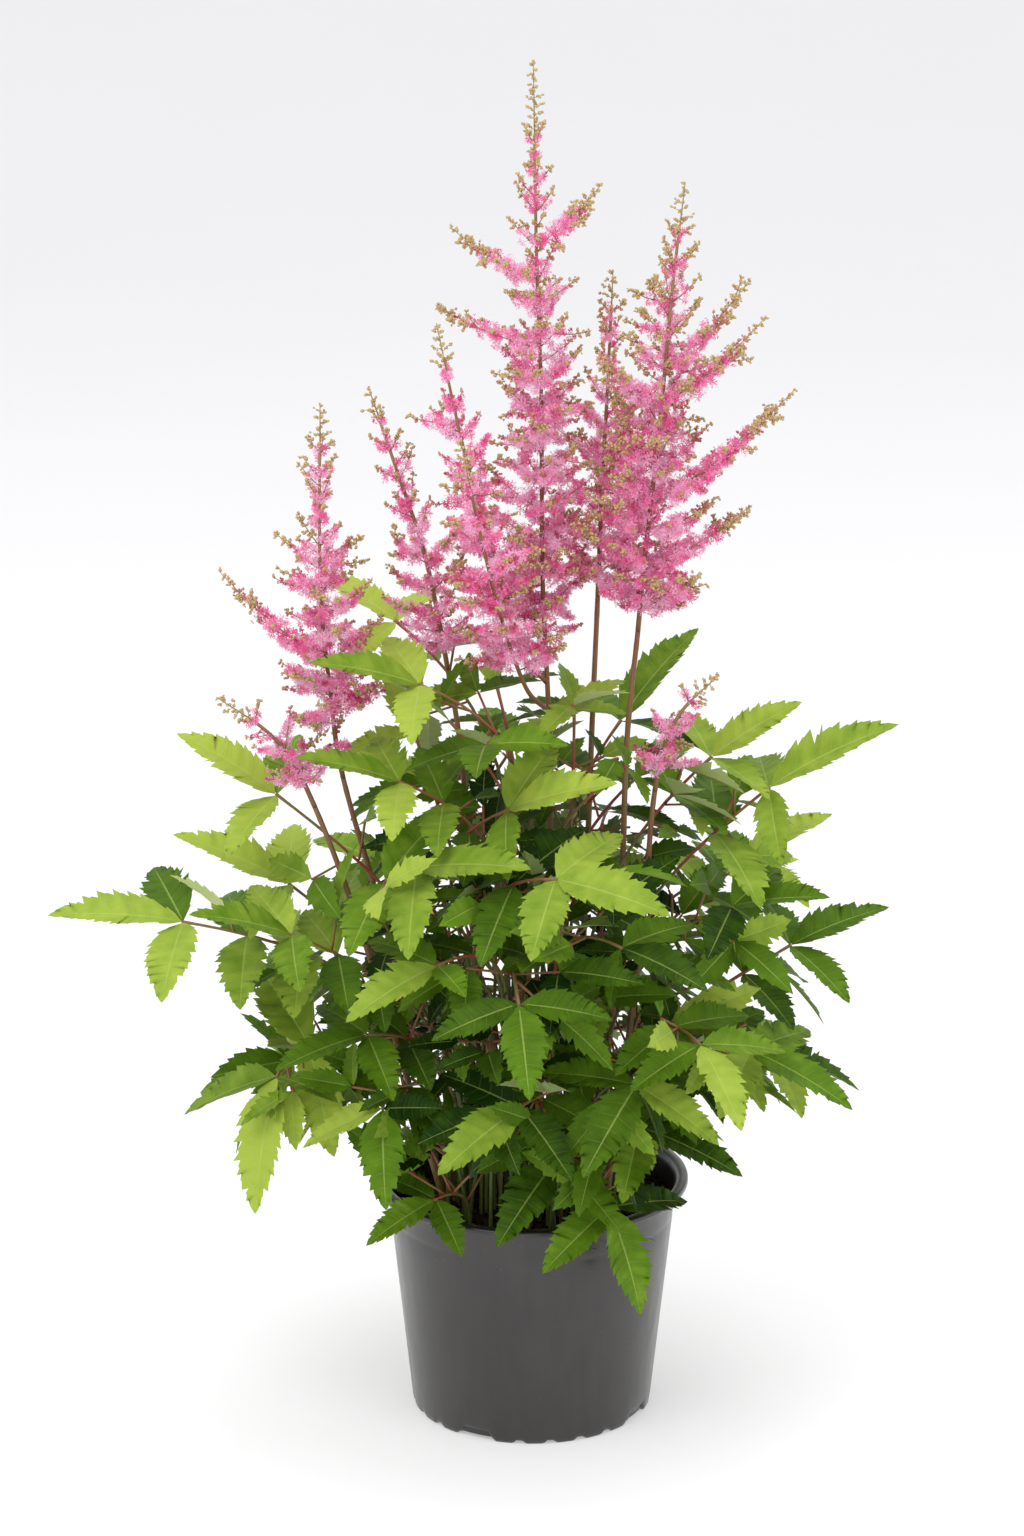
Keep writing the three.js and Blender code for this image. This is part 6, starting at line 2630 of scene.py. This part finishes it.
@dataclass(frozen=True)
class Studio:
    """The pale sweep, the soft lights and the camera, in metres."""

    camera_place: tuple = (-0.012, -3.0, 1.345)
    camera_pitch: float = 72.6
    lens: float = 124.2
    sensor: float = 36.0
    sweep: tuple = (14.0, 5.0, 3.0)

    def build(self) -> None:
        """Builds the whole studio."""
        self.add_camera()
        self.add_sweep()
        self.add_light("key", (-1.3, -1.8, 3.0), (0, 0, 0.4), 2.2, 40)
        self.add_light("fill", (2.3, -1.5, 1.6), (0, 0, 0.4), 2.0, 12)
        self.add_light("top", (0.3, 0.4, 3.0), (0, 0, 0.3), 2.0, 22)
        world = bpy.data.worlds.new("studio_air")
        world.use_nodes = True
        air = world.node_tree.nodes["Background"]
        air.inputs["Color"].default_value = (0.975, 0.98, 1.0, 1)
        air.inputs["Strength"].default_value = 0.88
        bpy.context.scene.world = world
        bpy.context.scene.view_settings.view_transform = "Standard"

    def add_camera(self) -> None:
        """Adds the camera, on the front and a little above."""
        data = bpy.data.cameras.new("view")
        data.sensor_fit = "VERTICAL"
        data.sensor_height = self.sensor
        data.lens = self.lens
        data.clip_end = 60
        camera = bpy.data.objects.new("view", data)
        camera.location = self.camera_place
        camera.rotation_euler = (math.radians(self.camera_pitch), 0, 0)
        bpy.context.scene.collection.objects.link(camera)
        bpy.context.scene.camera = camera

    def add_sweep(self) -> None:
        """Adds a floor that curves up into a wall far behind."""
        width, depth, height = self.sweep
        bend = 2
        line = [(-depth, 0), (depth - bend, 0)]
        for angle in np.linspace(0.1, math.pi / 2, 12):
            line.append((depth - bend + bend * math.sin(angle), bend - bend * math.cos(angle)))
        line.append((depth, height + 4))
        rows = np.array([[(x, y, z) for x in (-width / 2, width / 2)] for y, z in line]) / MM
        draft = Draft()
        draft.grid(rows, 0, np.zeros(3), flips=True)
        floor = draft.piece("studio_floor", [PaleFloor("pale_floor").material()]).thing

    def add_light(self, name: str, place: tuple, aim: tuple, size: float, power: float) -> None:
        """Adds a soft square light.

        Args:
            name: Its name.
            place: Where it is.
            aim: What it looks at.
            size: Its side.
            power: Its power in watts.
        """
        data = bpy.data.lights.new(name, "AREA")
        data.size = size
        data.energy = power
        light = bpy.data.objects.new(name, data)
        way = unit(np.array(place, float) - np.array(aim, float))
        light.location = place
        light.rotation_euler = (math.acos(way[2]), 0, math.atan2(way[1], way[0]) + math.pi / 2)
        bpy.context.scene.collection.objects.link(light)


# The plant


def leaf_finishes() -> list[Material]:
    """The upper face, the paler underside and the petiole.

    Returns:
        The materials, in that order.
    """
    under = LeafFace(
        "leaf_underside",
        dark=(0.130, 0.180, 0.050),
        middle=(0.300, 0.380, 0.130),
        bright=(0.480, 0.560, 0.240),
        vein=(0.540, 0.600, 0.300),
        roughness=0.6,
    )
    petiole = StemSkin("petiole_skin", (0.130, 0.190, 0.045), (0.340, 0.050, 0.030))
    return [LeafFace("leaf_upper").material(), under.material(), petiole.material()]


def plume_kit() -> PlumeKit:
    """The shapes and finishes of the plumes.
    """
    open_sizes = FloretSizes()
    shut_sizes = FloretSizes(petal_length=1.9, stamen_length=2.1, opening=34)
    rachis = StemSkin("flower_stem_skin", (0.300, 0.190, 0.070), (0.210, 0.075, 0.035))
    return PlumeKit(
        [open_sizes.shape(seed) for seed in (11, 12, 13, 14)],
        [shut_sizes.shape(seed) for seed in (21, 22, 23, 24)],
        bead(),
        thin_stalk(3),
        thin_stalk(2),
        Petal("petal").material(),
        [rachis.material(), Bud("bud").material()],
    )


def build_plant() -> None:
    """Lays the plant out in the order of its solids, then builds every piece."""
    room = Room()
    stems, leaves = flower_stems(), fronds()
    for stem in stems:
        stem.place(room)
    for leaf in leaves:
        if not leaf.place(room):
            raise RuntimeError(f"no way up for {leaf.owner}")
    for grower in [*stems, *leaves]:
        grower.grow()
    log.info("laid out %d racemes", sum(len(stem.racemes) for stem in stems))
    placed = sum(len(leaf.blades) for leaf in leaves)
    more = Thicket("more", 96, 9001, (172, 380), (40, 118), 44, (-20, 30)).place(room)
    more += Thicket("upper", 30, 9501, (385, 470), (8, 80), 0, (15, 60)).place(room)
    more += Thicket("inner", 64, 9701, (190, 350), (5, 64), 0, (-30, 30)).place(room)
    for leaf in more:
        leaf.grow()
    log.info("laid out %d small leaves with %d leaflets", len(more), sum(len(leaf.blades) for leaf in more))
    for stem in stems:
        stem.fill()
    log.info("filled up to %d racemes", sum(len(stem.racemes) for stem in stems))
    for leaf in leaves:
        leaf.fill()
    log.info("laid out %d leaflets and %d more", placed, sum(len(leaf.blades) for leaf in leaves) - placed)
    kit = plume_kit()
    for stem in stems:
        stem.build(kit)
    small = Leaflet(teeth=7, columns=(0.0, 0.5, 1.0), tooth=((0.0, 1.0, 0.0), (0.8, -0.25, 0.03)))
    foliage = FoliageKit(Leaflet(), small, leaf_finishes())
    for leaf in leaves:
        leaf.build(foliage)
    for number in range(4):
        draft = Draft()
        for leaf in more[number::4]:
            leaf.build_into(draft, foliage)
        piece = draft.piece(f"small_leaves_{number + 1}", foliage.finishes)
        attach(piece.thing, "root")
        log.info("%s: %d triangles", piece.thing.name, piece.triangles)
    NurseryPot().build(PotPlastic("pot_plastic"))
    PottingSoil().build(Peat("peat"), Grit("grit"))


def main() -> None:
    """Builds the studio and the plant."""
    logging.basicConfig(level=logging.INFO, format="%(name)s: %(message)s")
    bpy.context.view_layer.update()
    Studio().build()
    build_plant()


if __name__ == "__main__":
    main()
